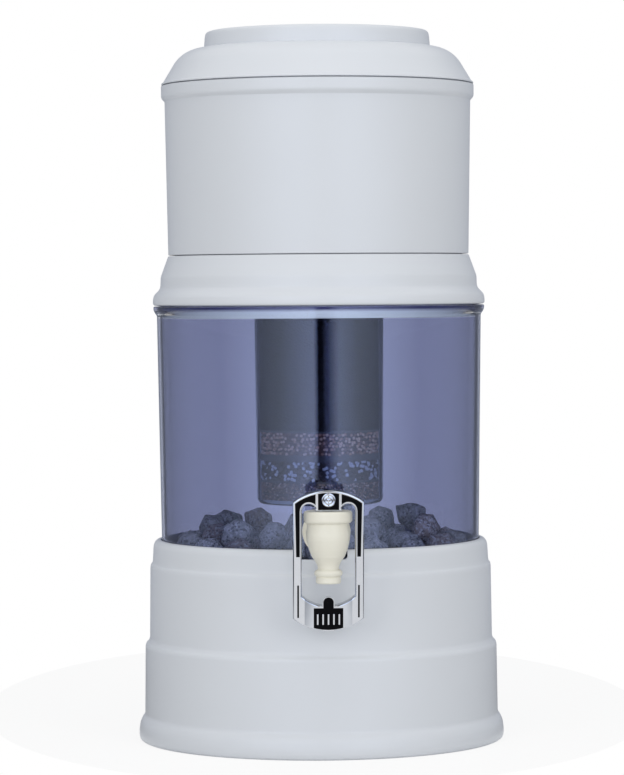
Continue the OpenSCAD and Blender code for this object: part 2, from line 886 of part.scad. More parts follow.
// Raised grip bars on the panel
module paddle_marks() {
    bars = 5;
    bar_w = 1.1;
    bar_h = 6.9;
    bar_pitch = 3.4;
    bar_v = -lever_l + 4.2;
    raise = 0.35;
    color("silver")
    on_lever(-raise, raise)
        for (i = [0:bars - 1])
            translate([(i - (bars - 1) / 2) * bar_pitch - bar_w / 2, bar_v])
                square([bar_w, bar_h]);
}

module lever_pin() {
    color("gray")
    across(tap_y, pin_z, pin_r, head_w);
}

// Collar: bead over the tank's rim, concave shoulder, neck, taper to the upper tank
module collar() {
    bead_r = rim_r + 0.3;
    top_r = upper_r + 0.1;
    skirt_r = rim_wall_r - tank_wall - skirt_gap;
    neck_in = min(collar_neck_r - collar_wall, skirt_r - 2);
    taper_z = 19.6;
    color("white")
    translate([0, 0, rim_z])
    difference() {
        rotate_extrude()
            polygon(concat(
                [[neck_in, -collar_skirt], [skirt_r, -collar_skirt], [skirt_r, 0]],
                arc([bead_r - 1.6, 2.2], 1.6, -75, 0, 4),
                [[bead_r, 3.9], [bead_r - 0.4, 6.5], [bead_r - 1.1, 7.8], [bead_r - 2.4, 9.1]],
                [[bead_r - 3.7, 10.4], [collar_neck_r + 0.3, 11.8], [collar_neck_r, 13.5]],
                [[collar_neck_r - 0.2, taper_z], [collar_neck_r - 1.2, taper_z + 2.7]],
                [[top_r, collar_h]],
                [[ring_r, collar_h], [ring_r, collar_h + ring_h]],
                [[ring_r - ring_w, collar_h + ring_h], [ring_r - ring_w, collar_h]],
                [[collar_hole_r, collar_h], [collar_hole_r, collar_h - collar_plate]],
                [[top_r - collar_wall, collar_h - collar_plate]],
                [[neck_in, taper_z - 1.5]]
            ));
    }
}

module upper_tank() {
    post_hole = post_r + post_gap;
    color("white")
    difference() {
        rotate_extrude()
            polygon([
                [0, floor_under], [upper_r - upper_wall, floor_under],
                [upper_r - upper_wall, upper_z], [upper_r - 0.5, upper_z], [upper_r, upper_z + 0.5],
                [upper_r + upper_draft, upper_top - flange_h],
                [flange_r2 - 0.8, upper_top - flange_h + 1.6],
                [flange_r2 - 0.1, upper_top - flange_h + 2.8],
                [flange_r2, upper_top - flange_h + 4],
                [flange_r2, upper_top - 0.4], [flange_r2 - 0.4, upper_top],
                [upper_mouth_r, upper_top], [upper_r - upper_wall, upper_floor_z],
                [0, upper_floor_z]
            ]);
        translate([0, 0, floor_under - 1])
            cylinder(h = upper_floor + 2, r = post_hole);
    }
}

// Lid: thin lip, sloping and rounded shoulder, raised disc, and a skirt inside the tank's mouth
module lid() {
    skirt_r = upper_mouth_r - lid_skirt_gap;
    skirt_in = skirt_r - 2;
    disc_z = lid_top - lid_disc_h;
    inner_top = lid_top - lid_wall;
    inner_disc_r = lid_disc_r - lid_wall - 2;
    slope_z = upper_top + lid_lip_h + 0.4;
    bend_z = disc_z - lid_bend;
    // The slope starts inside the lip and is tangent to the bend
    slope_r = flange_r2 - 1.2;
    bend_end_z = bend_z + lid_bend * sin(lid_slope);
    bend_r = slope_r - (bend_end_z - slope_z) * tan(lid_slope) - lid_bend * cos(lid_slope);
    bend_to = bend_r < lid_disc_r ? acos((lid_disc_r - bend_r) / lid_bend) : 90;
    function crown(inset) = arc([bend_r, bend_z], lid_bend - inset, lid_slope, bend_to, 10);
    inner = crown(lid_wall);
    inner_low = upper_top + lid_wall;
    color("white")
    rotate_extrude()
        polygon(concat(
            [[skirt_in, upper_top - lid_skirt_h], [skirt_r, upper_top - lid_skirt_h]],
            [[skirt_r, upper_top], [flange_r2 - 0.6, upper_top]],
            [[flange_r2 - 0.2, upper_top + 0.4], [flange_r2 - 0.2, upper_top + lid_lip_h - 0.3]],
            [[flange_r2 - 0.6, upper_top + lid_lip_h]],
            [[slope_r, slope_z]],
            crown(0),
            [[lid_disc_r, disc_z + 0.4]],
            arc([lid_disc_r - 0.6 - lid_edge_round, lid_top - lid_edge_round], lid_edge_round, 0, 90, 5),
            [[0, lid_top], [0, inner_top]],
            [[inner_disc_r, inner_top], [inner_disc_r, disc_z - lid_wall]],
            [for (i = [len(inner) - 1:-1:0]) inner[i]],
            [[inner[0][0] + (inner[0][1] - inner_low) * tan(lid_slope), inner_low]],
            [[skirt_in, inner_low]]
        ));
}

// Ceramic dome: straight wall and a round crown, hollow
module dome_shell() {
    color("ivory")
    translate([0, 0, dome_z])
        rotate_extrude()
            difference() {
                dome_half(dome_r);
                dome_half(dome_r - dome_wall);
            }
}

module dome_half(r) {
    square([r, dome_straight]);
    intersection() {
        translate([0, dome_straight])
            circle(r = r);
        translate([0, dome_straight - eps])
            square([r, r + 1]);
    }
}

// Foot under the dome, with the hollow threaded post through the floor
module dome_foot() {
    spigot = dome_r - dome_wall - 0.3;
    spigot_rise = 5;
    color("gainsboro")
    difference() {
        union() {
            translate([0, 0, foot_z])
                cylinder(h = foot_plate_h, r = dome_r + foot_plate_lap);
            translate([0, 0, dome_z - eps])
                cylinder(h = spigot_rise, r = spigot);
            translate([0, 0, post_end])
                cylinder(h = foot_z - post_end + 1, r = post_r);
        }
        translate([0, 0, post_end - 1])
            cylinder(h = dome_z - post_end + spigot_rise + 2, r = post_bore);
    }
}

// A flat ring round the post
module post_ring(z, t, r, sides = $fn) {
    translate([0, 0, z])
    difference() {
        cylinder(h = t, r = r, $fn = sides);
        translate([0, 0, -1])
            cylinder(h = t + 2, r = post_r);
    }
}

module dome_gasket() {
    color("dimgray")
    post_ring(upper_floor_z, gasket_t, gasket_r);
}

module floor_washer() {
    color("dimgray")
    post_ring(floor_under - floor_washer_t, floor_washer_t, floor_washer_r);
}

module dome_nut() {
    color("gainsboro")
    post_ring(floor_under - floor_washer_t - dome_nut_t, dome_nut_t, dome_nut_across / sqrt(3), 6);
}

// Cap of the cartridge: neck on the post, sloping roof, skirt over the shell
module cartridge_cap() {
    skirt_in = cartridge_r + bed_gap;
    skirt_out = skirt_in + cap_wall;
    roof_low = cap_z + cap_skirt_h;
    roof_high = cap_top - cap_neck_h;
    color("dimgray")
    rotate_extrude()
        polygon([
            [post_r, roof_high - 4], [post_r, cap_top], [cap_neck_r, cap_top],
            [cap_neck_r, roof_high], [skirt_out - 3, roof_low + 4], [skirt_out, roof_low + 1],
            [skirt_out, cap_z], [skirt_in, cap_z], [skirt_in, roof_low],
            [cartridge_r - cartridge_wall, roof_low], [cap_neck_r, roof_high - 4]
        ]);
}

module cartridge_shell() {
    low_r = cartridge_r - cartridge_draft;
    color("lightsteelblue", 0.4)
    rotate_extrude()
        polygon(concat(
            [[cartridge_in(grille_z) - lip_w, cartridge_z]],
            arc([low_r - cartridge_corner, cartridge_z + cartridge_corner], cartridge_corner, -90, 0, 6),
            [[cartridge_r, cartridge_top]],
            [[cartridge_r - cartridge_wall, cartridge_top]],
            [[cartridge_in(grille_z), grille_z], [cartridge_in(grille_z) - lip_w, grille_z]]
        ));
}

// A layer that fills the shell between two heights
module bed(z, h) {
    translate([0, 0, z])
        cylinder(h = h, r1 = cartridge_in(z) - bed_gap, r2 = cartridge_in(z + h) - bed_gap);
}

module carbon_bed() {
    color([0.1, 0.1, 0.12])
    bed(carbon_z, carbon_h);
}

module separator_pads() {
    color("gray") {
        bed(low_pad_z, pad_t);
        bed(mid_pad_z, mid_pad_t);
        bed(high_pad_z, pad_t);
        bed(top_pad_z, pad_t);
    }
}

module brown_ball_bed() {
    color("sienna")
    bed(brown_z, brown_h);
}

module white_ball_bed() {
    color("lavender")
    bed(white_z, white_h);
}

module sand_bed() {
    color("saddlebrown")
    bed(sand_z, sand_h);
}

// Bottom grille with rings of slots
module outlet_grille() {
    slot_w = 2;
    slots = 12;
    slot_from = 10;
    slot_to = cartridge_in(grille_z) - lip_w - 1;
    color("gray")
    difference() {
        bed(grille_z, grille_t);
        for (i = [0:slots - 1])
            rotate([0, 0, i * 360 / slots])
                translate([slot_from, -slot_w / 2, grille_z - 1])
                    cube([slot_to - slot_from, slot_w, grille_t + 2]);
    }
}

stand_shell();
lower_tank();
mineral_stones();
tap_body();
tap_bonnet();
tap_outer_washer();
tap_inner_washer();
tap_lock_nut();
valve_stem();
valve_plug();
valve_spring();
lever_frame();
lever_inlays();
lever_disc();
paddle_panel();
paddle_marks();
lever_pin();
collar();
upper_tank();
lid();
dome_shell();
dome_foot();
dome_gasket();
floor_washer();
dome_nut();
cartridge_cap();
cartridge_shell();
carbon_bed();
separator_pads();
brown_ball_bed();
white_ball_bed();
sand_bed();
outlet_grille();
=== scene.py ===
import math

import bmesh
import bpy
from mathutils import Matrix, Vector, noise


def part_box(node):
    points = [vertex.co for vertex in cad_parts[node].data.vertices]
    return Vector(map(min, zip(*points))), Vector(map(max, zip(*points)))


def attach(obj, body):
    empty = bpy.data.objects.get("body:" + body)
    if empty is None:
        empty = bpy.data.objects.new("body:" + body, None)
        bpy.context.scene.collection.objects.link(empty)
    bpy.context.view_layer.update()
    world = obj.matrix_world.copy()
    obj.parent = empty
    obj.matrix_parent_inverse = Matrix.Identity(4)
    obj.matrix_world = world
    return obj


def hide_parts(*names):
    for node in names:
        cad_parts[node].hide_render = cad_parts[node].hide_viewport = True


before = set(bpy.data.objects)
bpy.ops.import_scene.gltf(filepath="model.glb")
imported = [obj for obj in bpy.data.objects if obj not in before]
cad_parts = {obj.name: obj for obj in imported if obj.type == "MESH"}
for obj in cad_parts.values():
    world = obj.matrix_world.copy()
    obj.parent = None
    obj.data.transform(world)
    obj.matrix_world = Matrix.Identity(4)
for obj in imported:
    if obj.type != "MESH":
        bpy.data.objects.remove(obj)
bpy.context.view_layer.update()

mm = 0.001
mergeDistance = 0.000002  # metres; corners closer than this become one
scene = bpy.context.scene
scene.view_settings.view_transform = "Standard"


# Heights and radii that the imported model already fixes, in millimetres
def boxOf(node):
    low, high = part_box(node)
    return [value / mm for value in low], [value / mm for value in high]


def middleOf(node):
    low, high = boxOf(node)
    return [(a + b) / 2 for a, b in zip(low, high)]


(*_, deckZ), (rimR, _, rimZ) = boxOf("lower_tank")
_, (footR, _, standTop) = boxOf("stand_shell")
collarR = boxOf("collar")[1][0]
(*_, upperZ), (flangeR, _, upperTop) = boxOf("upper_tank")
lidTop = boxOf("lid")[1][2]
tapZ = middleOf("tap_lock_nut")[2]
(*_, cartridgeZ), (cartridgeR, _, cartridgeTop) = boxOf("cartridge_shell")


# Node trees are written as Python expressions
class Wire:
    # an output socket that takes + - * / and adds a Math node for each
    def __init__(self, board, socket):
        self.board = board
        self.socket = socket

    def out(self, name):
        return Wire(self.board, pick(self.socket.node.outputs, name))

    def math(self, operation, *others):
        values = dict(enumerate([self, *others]))
        return self.board.node("ShaderNodeMath", {"operation": operation}, values)

    def __add__(self, other):
        return self.math("ADD", other)

    def __radd__(self, other):
        return self.math("ADD", other)

    def __sub__(self, other):
        return self.math("SUBTRACT", other)

    def __rsub__(self, other):
        return self.board.number(other).math("SUBTRACT", self)

    def __mul__(self, other):
        return self.math("MULTIPLY", other)

    def __rmul__(self, other):
        return self.math("MULTIPLY", other)

    def __truediv__(self, other):
        return self.math("DIVIDE", other)

    def __rtruediv__(self, other):
        return self.board.number(other).math("DIVIDE", self)


def pick(sockets, name):
    # a socket by its place, or the first one in use that has this name
    if isinstance(name, int):
        return sockets[name]
    return next(s for s in sockets if s.name == name and s.enabled)


class Board:
    # one node tree, and the method that adds any node to it
    def __init__(self, tree):
        self.tree = tree

    def number(self, value):
        return self.node("ShaderNodeMath", {"operation": "ADD"}, {0: value, 1: 0.0})

    def node(self, kind, settings=None, sockets=None):
        made = self.tree.nodes.new(kind)
        for key, value in (settings or {}).items():
            if key == "stops":
                setStops(made.color_ramp, value)
            else:
                setattr(made, key, value)
        for key, value in (sockets or {}).items():
            socket = pick(made.inputs, key)
            if isinstance(value, Wire):
                self.tree.links.new(value.socket, socket)
            else:
                socket.default_value = value
        outputs = [s for s in made.outputs if s.enabled]
        return Wire(self, outputs[0] if outputs else None)

    # the few shading nodes that nearly every finish uses
    def place(self):
        return self.node("ShaderNodeTexCoord").out("Object")

    def grain(self, scale, detail=2.0, roughness=0.5, vector=None):
        sockets = {"Scale": scale, "Detail": detail, "Roughness": roughness}
        sockets["Vector"] = vector or self.place()
        return self.node("ShaderNodeTexNoise", {"noise_dimensions": "3D"}, sockets)

    def blendColour(self, factor, first, second, mode="MIX"):
        return self.node(
            "ShaderNodeMix",
            {"data_type": "RGBA", "blend_type": mode},
            {"Factor": factor, "A": first, "B": second},
        )

    def spread(self, value, low, high, newLow=0.0, newHigh=1.0):
        return self.node(
            "ShaderNodeMapRange",
            {"clamp": True},
            {"Value": value, "From Min": low, "From Max": high, "To Min": newLow, "To Max": newHigh},
        )

    def bump(self, height, distance):
        sockets = {"Height": height, "Distance": distance, "Strength": 1.0}
        return self.node("ShaderNodeBump", None, sockets)

    def attribute(self, name):
        return self.node("ShaderNodeAttribute", {"attribute_name": name}).out("Fac")

    def surface(self, shader):
        self.node("ShaderNodeOutputMaterial", None, {"Surface": shader})

    def principled(self, sockets):
        self.surface(self.node("ShaderNodeBsdfPrincipled", None, sockets))


def setStops(ramp, stops):
    while len(ramp.elements) < len(stops):
        ramp.elements.new(0.5)
    for element, (position, colour) in zip(ramp.elements, stops):
        element.position = position
        element.color = colour


def newFinish(name):
    material = bpy.data.materials.new(name)
    material.use_nodes = True
    material.node_tree.nodes.clear()
    return material, Board(material.node_tree)


def rgb(red, green, blue):
    return (red, green, blue, 1.0)


def mouldedPlastic(name, colour, roughness=0.34, specular=0.3, peel=0.000012, tone=0.02):
    # injection-moulded plastic: faint flow tone, fine orange peel, sheen that varies a little
    material, board = newFinish(name)
    flow = board.spread(board.grain(9.0, 3.0), 0.3, 0.7)
    darker = rgb(*(value * (1 - tone) for value in colour))
    tint = board.blendColour(flow, darker, rgb(*colour))
    haze = board.spread(board.grain(60.0, 2.0), 0.3, 0.7, roughness - 0.03, roughness + 0.03)
    texture = board.grain(900.0, 1.0)
    board.principled({
        "Base Color": tint,
        "Roughness": haze,
        "Specular IOR Level": specular,
        "IOR": 1.5,
        "Normal": board.bump(texture, peel),
    })
    return material


def clearPlastic(name, colour, shadowColour, ior=1.5, roughness=0.015, ripple=0.00002, paintedLightBands=()):
    # clear moulded plastic: tinted in the mass, with the faint ripple of its mould
    material, board = newFinish(name)
    wave = board.grain(14.0, 1.0)
    height = board.node("ShaderNodeSeparateXYZ", None, {0: board.place()}).out("Z")
    faint = board.spread(board.grain(5.0, 2.0), 0.3, 0.7)
    tint = board.blendColour(faint, rgb(*(value * 0.985 for value in colour)), rgb(*colour))
    # bands of painted highlight and painted shade, laid into the tint by height
    for start, end, paintedBandColour in paintedLightBands:
        tint = board.blendColour(board.spread(height, start * mm, end * mm), tint, rgb(*paintedBandColour))
    shader = board.node("ShaderNodeBsdfPrincipled", None, {
        "Base Color": tint,
        "Roughness": board.spread(board.grain(40.0), 0.3, 0.7, roughness * 0.6, roughness * 1.6),
        "Transmission Weight": 1.0,
        "IOR": ior,
        "Normal": board.bump(wave, ripple),
    })
    clear = board.node("ShaderNodeBsdfTransparent", None, {"Color": rgb(*shadowColour)})
    shadow = board.node("ShaderNodeLightPath").out("Is Shadow Ray")
    board.surface(board.node("ShaderNodeMixShader", None, {0: shadow, 1: shader, 2: clear}))
    return material


def polishedMetal(name, colour, roughness, relief=None):
    # plated or drawn metal: fine wipe marks, a little tarnish in patches, and a relief if it has one
    material, board = newFinish(name)
    patches = board.spread(board.grain(70.0, 3.0), 0.35, 0.7)
    dull = rgb(*(value * 0.93 for value in colour))
    wipes = board.grain(600.0, 1.0)
    board.principled({
        "Base Color": board.blendColour(patches, rgb(*colour), dull),
        "Metallic": 1.0,
        "Roughness": board.spread(wipes, 0.3, 0.7, roughness, roughness * 1.8),
        "Normal": relief(board) if relief else board.bump(wipes, 0.000003),
    })
    return material


def dishedPaddle(board):
    # the paddle is slightly hollow between its two grooves; it starts some way below the shank
    size = {"half": 15.0, "full": 22, "start": 12, "depth": 0.002}
    spot = board.node("ShaderNodeSeparateXYZ", None, {0: board.place()})
    across = (spot.out("X") / (size["half"] * mm)).math("ABSOLUTE").math("MINIMUM", 1.0)
    full, start = (tapZ - size["full"]) * mm, (tapZ - size["start"]) * mm
    low = board.spread(spot.out("Z"), full, start, 1.0, 0.0)
    return board.bump((across * across - 1.0) * low, size["depth"])


def turnedGrooves(board):
    # fine rings round the middle of the lever's disc
    size = {"rings": 2.6, "depth": 0.00016}
    low, high = boxOf("lever_disc")
    middle = [(a + b) / 2 * mm for a, b in zip(low, high)]
    reach = (high[0] - low[0]) / 2 * mm
    across = board.node("ShaderNodeVectorMath", {"operation": "SUBTRACT"}, {0: board.place(), 1: middle})
    distance = board.node("ShaderNodeVectorMath", {"operation": "LENGTH"}, {0: across}).out("Value")
    wave = (distance / reach * (size["rings"] * 2 * math.pi)).math("SINE")
    return board.bump(wave, size["depth"])


def rubber(name, colour):
    material, board = newFinish(name)
    dust = board.spread(board.grain(180.0, 4.0), 0.45, 0.75)
    paler = rgb(*(value * 1.6 + 0.01 for value in colour))
    board.principled({
        "Base Color": board.blendColour(dust, rgb(*colour), paler),
        "Roughness": board.spread(dust, 0, 1, 0.55, 0.7),
        "Normal": board.bump(board.grain(1400.0), 0.00003),
    })
    return material


def ceramicBody(name, colour):
    # unglazed ceramic: chalky, with fine pores
    material, board = newFinish(name)
    pores = board.node("ShaderNodeTexVoronoi", None, {"Vector": board.place(), "Scale": 700.0})
    tone = board.spread(board.grain(30.0, 4.0), 0.3, 0.7)
    darker = rgb(*(value * 0.9 for value in colour))
    board.principled({
        "Base Color": board.blendColour(tone, darker, rgb(*colour)),
        "Roughness": 0.85,
        "Normal": board.bump(board.spread(pores, 0, 0.35), 0.00006),
    })
    return material


def feltPad(name, colour):
    material, board = newFinish(name)
    fibres = board.grain(1100.0, 3.0, 0.7)
    darker = rgb(*(value * 0.45 for value in colour))
    board.principled({
        "Base Color": board.blendColour(board.spread(fibres, 0.35, 0.65), darker, rgb(*colour)),
        "Roughness": 0.95,
        "Sheen Weight": 0.3,
        "Normal": board.bump(fibres, 0.0002),
    })
    return material


def granite(name):
    # grey speckled granite; each stone has its own tone and a few are brownish
    material, board = newFinish(name)
    place = board.place()
    tone = board.attribute("tone")
    warm = board.attribute("warm")
    cloud = board.spread(board.grain(110.0, 5.0, 0.6), 0.3, 0.7)
    base = board.blendColour(cloud, rgb(0.45, 0.46, 0.41), rgb(0.90, 0.90, 0.82))
    base = board.blendColour(warm * 0.6, base, rgb(0.66, 0.50, 0.42))
    cells = board.node("ShaderNodeTexVoronoi", {"feature": "F1"}, {"Vector": place, "Scale": 760.0})
    mica = board.node("ShaderNodeSeparateColor", None, {"Color": cells.out("Color")})
    dark = board.spread(mica.out("Red"), 0.74, 0.78)
    pale = board.spread(mica.out("Green"), 0.68, 0.74)
    base = board.blendColour(dark * 0.55, base, rgb(0.08, 0.08, 0.08))
    base = board.blendColour(pale * 0.85, base, rgb(1.0, 1.0, 0.97))
    base = board.blendColour(board.spread(tone, 0, 1, 0.5, 0.0), base, rgb(0.05, 0.052, 0.06))
    rough = board.grain(420.0, 4.0, 0.65)
    board.principled({
        "Base Color": base,
        "Roughness": board.spread(mica.out("Blue"), 0, 1, 0.45, 0.75),
        "Normal": board.bump(rough, 0.0009),
    })
    return material


def looseFill(name, first, second, third, roughness=0.5):
    # balls or grains: each carries its own shade and the share of the third colour
    material, board = newFinish(name)
    shade = board.attribute("shade")
    pale = board.attribute("pale")
    # the first colour goes on the darker balls and on the core seen between them, where it is kept dark
    # as painted shade in the gaps
    tint = board.blendColour(shade, rgb(*first), rgb(*second))
    tint = board.blendColour(pale, tint, rgb(*third))
    fine = board.grain(2200.0, 2.0)
    board.principled({
        "Base Color": tint,
        "Roughness": board.spread(fine, 0.3, 0.7, roughness - 0.1, roughness + 0.1),
        "Normal": board.bump(fine, 0.00008),
    })
    return material


def activatedCarbon(name):
    material, board = newFinish(name)
    cells = board.node("ShaderNodeTexVoronoi", None, {"Vector": board.place(), "Scale": 750.0})
    glint = board.node("ShaderNodeSeparateColor", None, {"Color": cells.out("Color")}).out("Red")
    lit = board.spread(glint, 0.5, 1)
    base = board.blendColour(lit, rgb(0.005, 0.005, 0.006), rgb(0.02, 0.021, 0.024))
    board.principled({
        "Base Color": base,
        "Specular IOR Level": 0.12,
        "Roughness": board.spread(glint, 0, 1, 0.5, 0.8),
        "Normal": board.bump(cells.out("Distance"), 0.0006),
    })
    return material


print("finishes")
chromeLook = ((0.66, 0.675, 0.70), 0.06)  # colour and roughness
finish = {
    "white_plastic": mouldedPlastic("whitePlastic", (0.70, 0.725, 0.765)),
    "cream_plastic": mouldedPlastic("creamPlastic", (0.835, 0.81, 0.705), 0.4),
    "stem_plastic": mouldedPlastic("stemPlastic", (0.62, 0.63, 0.64), 0.4),
    "cap_plastic": mouldedPlastic("capPlastic", (0.035, 0.036, 0.042), 0.4),
    "black_plastic": mouldedPlastic("blackPlastic", (0.003, 0.003, 0.004), 0.3, 0.04),
    # The bead has a painted highlight band where the collar's white skirt stands behind it, and a
    # painted dark band as shade at its top
    "tank_blue": clearPlastic("tankBlue", (0.44, 0.467, 0.618), (0.86, 0.88, 0.94), paintedLightBands=(
        (rimZ - 8.2, rimZ - 7.6, (0.95, 0.98, 1.0)),
        (rimZ - 2.6, rimZ - 1.6, (0.17, 0.17, 0.34)),
    )),
    "cartridge_clear": clearPlastic("cartridgeClear", (0.84, 0.90, 1.0), (0.985, 0.99, 1.0)),
    "chrome": polishedMetal("chromePlate", *chromeLook),
    "spring_steel": polishedMetal("springSteel", (0.58, 0.58, 0.6), 0.2),
    "pin_steel": polishedMetal("pinSteel", (0.6, 0.6, 0.62), 0.18),
    "washer_rubber": rubber("washerRubber", (0.06, 0.06, 0.065)),
    "plug_rubber": rubber("plugRubber", (0.045, 0.05, 0.055)),
    "ceramic": ceramicBody("ceramicBody", (0.78, 0.76, 0.70)),
    "felt": feltPad("feltPad", (0.13, 0.12, 0.13)),
    "stone": granite("granite"),
    "carbon": activatedCarbon("activatedCarbon"),
    # a fill's first colour also covers its core, where it stands as painted shade between the balls
    "brown_ceramic": looseFill("brownBalls", (0.12, 0.055, 0.04), (0.90, 0.52, 0.38), (1.0, 0.68, 0.52)),
    "white_ceramic": looseFill("whiteBalls", (0.03, 0.02, 0.018), (0.12, 0.08, 0.07), (0.9, 0.92, 1.0)),
    "sand": looseFill("sandGrains", (0.07, 0.045, 0.035), (0.60, 0.36, 0.26), (0.85, 0.62, 0.52)),
}


def arc(centre, radius, start, end, steps=8, high=None):
    # part of a circle, or of an oval when its height is given too
    high = high or radius
    points = []
    for i in range(steps + 1):
        a = math.radians(start + (end - start) * i / steps)
        points.append((centre[0] + radius * math.cos(a), centre[1] + high * math.sin(a)))
    return points


def rounded(outline, steps=5):
    # an outline of (r, z) or (r, z, rounding): each corner with a rounding becomes a small curve
    points = []
    count = len(outline)
    for i, corner in enumerate(outline):
        here = Vector(corner[:2])
        if len(corner) < 3:
            points.append(tuple(here))
            continue
        before = Vector(outline[i - 1][:2]) - here
        after = Vector(outline[(i + 1) % count][:2]) - here
        cut = min(corner[2], before.length * 0.45, after.length * 0.45)
        start = here + before.normalized() * cut
        end = here + after.normalized() * cut
        for k in range(steps + 1):
            t = k / steps
            points.append(tuple(start * (1 - t) ** 2 + here * (2 * t * (1 - t)) + end * t * t))
    return points


def newTree(name, inputs, output):
    # an empty shape tree with its named inputs, its finish and one output
    tree = bpy.data.node_groups.new(name, "GeometryNodeTree")
    for socketName, kind in {**inputs, "Finish": "Material"}.items():
        tree.interface.new_socket(socketName, in_out="INPUT", socket_type="NodeSocket" + kind)
    tree.interface.new_socket(output, in_out="OUTPUT", socket_type="NodeSocketGeometry")
    board = Board(tree)
    return board, board.node("NodeGroupInput")


def endTree(board, given, shape, output):
    painted = board.node("GeometryNodeSetMaterial", None, {
        "Geometry": shape, "Material": given.out("Finish"),
    })
    board.node("NodeGroupOutput", None, {output: painted})
    return board.tree


def turnedTree():
    # a closed outline in the XZ plane, swept round the Z axis
    inputs = {"Outline": "Geometry", "Segments": "Int", "Core Radius": "Float"}
    board, given = newTree("turnedShape", inputs, "Shape")
    core = given.out("Core Radius")
    inset = board.node("ShaderNodeCombineXYZ", None, {"X": core * -1.0})
    outline = board.node("GeometryNodeMeshToCurve", None, {"Mesh": given.out("Outline")})
    flat = board.node("GeometryNodeTransform", None, {
        "Geometry": outline, "Translation": inset, "Rotation": (math.pi / 2, 0, 0),
    })
    ring = board.node("GeometryNodeCurvePrimitiveCircle", None, {
        "Resolution": given.out("Segments"), "Radius": core,
    })
    swept = board.node("GeometryNodeCurveToMesh", None, {"Curve": ring, "Profile Curve": flat})
    joined = board.node("GeometryNodeMergeByDistance", None, {
        "Geometry": swept, "Distance": mergeDistance,
    })
    real = board.node("GeometryNodeRealizeInstances", None, {"Geometry": joined})
    return endTree(board, given, real, "Shape")


def ringTree():
    # one shape repeated round the Z axis
    inputs = {"Shape": "Geometry", "Count": "Int", "First Angle": "Float"}
    board, given = newTree("ringOfCopies", inputs, "Ring")
    count = given.out("Count")
    points = board.node("GeometryNodePoints", None, {"Count": count})
    index = board.node("GeometryNodeInputIndex")
    angle = given.out("First Angle") + index * (2 * math.pi) / count
    turn = board.node("ShaderNodeCombineXYZ", None, {"Z": angle})
    copies = board.node("GeometryNodeInstanceOnPoints", None, {
        "Points": points, "Instance": given.out("Shape"), "Rotation": turn,
    })
    real = board.node("GeometryNodeRealizeInstances", None, {"Geometry": copies})
    return endTree(board, given, real, "Ring")


def fillTree():
    # balls or grains in staggered rows just inside a tapered wall
    measures = (
        "Low", "Row Height", "Low Radius", "Radius Gain", "Size", "Jitter", "Pale Share", "Cluster",
    )
    inputs = {
        "Core": "Geometry",
        **dict.fromkeys(("Around", "Rows", "Seed"), "Int"),
        **dict.fromkeys(measures, "Float"),
    }
    board, given = newTree("looseFill", inputs, "Bed")
    around = given.out("Around")
    seed = given.out("Seed")
    points = board.node("GeometryNodePoints", None, {"Count": around * given.out("Rows")})
    index = board.node("GeometryNodeInputIndex")
    row = (index / around).math("FLOOR")
    column = index - row * around + row.math("MODULO", 2.0) * 0.5

    def randomValue(low, high, offset):
        return board.node("FunctionNodeRandomValue", {"data_type": "FLOAT"}, {
            "Min": low, "Max": high, "ID": index, "Seed": seed + offset,
        })

    jitter = given.out("Jitter")
    size = given.out("Size")
    angle = (column + randomValue(-0.5, 0.5, 1) * jitter) / around * (2 * math.pi)
    level = row + 0.5 + randomValue(-0.5, 0.5, 2) * jitter
    height = given.out("Low") + level * given.out("Row Height")
    wall = given.out("Low Radius") + given.out("Radius Gain") * row
    radius = wall - randomValue(0.0, 0.4, 3) * jitter * size
    spot = board.node("ShaderNodeCombineXYZ", None, {
        "X": angle.math("COSINE") * radius, "Y": angle.math("SINE") * radius, "Z": height,
    })
    cluster = board.grain(given.out("Cluster"), 1.0, 0.5, spot)
    pale = (cluster.out("Fac") + randomValue(-0.12, 0.12, 4)).math("LESS_THAN", given.out("Pale Share"))
    placed = board.node("GeometryNodeSetPosition", None, {"Geometry": points, "Position": spot})
    marked = board.node("GeometryNodeStoreNamedAttribute", {"data_type": "FLOAT", "domain": "POINT"}, {
        "Geometry": placed, "Name": "shade", "Value": randomValue(0.0, 1.0, 5),
    })
    marked = board.node("GeometryNodeStoreNamedAttribute", {"data_type": "FLOAT", "domain": "POINT"}, {
        "Geometry": marked, "Name": "pale", "Value": pale,
    })
    ball = board.node("GeometryNodeMeshUVSphere", None, {"Segments": 8, "Rings": 5, "Radius": size / 2})
    turn = board.node("FunctionNodeRandomValue", {"data_type": "FLOAT_VECTOR"}, {
        "Min": (0, 0, 0), "Max": (6.28, 6.28, 6.28), "ID": index, "Seed": seed + 6,
    })
    smooth = board.node("GeometryNodeSetShadeSmooth", None, {"Geometry": ball})
    copies = board.node("GeometryNodeInstanceOnPoints", None, {
        "Points": marked, "Instance": smooth, "Rotation": turn, "Scale": randomValue(0.86, 1.0, 7),
    })
    real = board.node("GeometryNodeRealizeInstances", None, {"Geometry": copies})
    both = board.node("GeometryNodeJoinGeometry")
    for part in (real, given.out("Core")):
        board.tree.links.new(part.socket, both.socket.node.inputs[0])
    return endTree(board, given, both, "Bed")


trees = {"turned": turnedTree(), "ring": ringTree(), "fill": fillTree()}


def newPiece(name, mesh):
    piece = bpy.data.objects.new(name, mesh)
    scene.collection.objects.link(piece)
    return piece


def meshFrom(builder, name):
    mesh = bpy.data.meshes.new(name)
    builder.to_mesh(mesh)
    builder.free()
    return mesh


def settle(piece):
    # the piece's modifiers become its plain mesh
    bpy.context.view_layer.update()
    evaluated = piece.evaluated_get(bpy.context.evaluated_depsgraph_get())
    mesh = bpy.data.meshes.new_from_object(evaluated)
    old = piece.data
    piece.modifiers.clear()
    piece.data = mesh
    bpy.data.meshes.remove(old)
    return piece


def runTree(piece, tree, values):
    modifier = piece.modifiers.new("shape", "NODES")
    modifier.node_group = tree
    inputs = [item for item in tree.interface.items_tree if item.in_out == "INPUT"]
    sockets = {item.name: item.identifier for item in inputs}
    for name, value in values.items():
        modifier[sockets[name]] = value
    return settle(piece)


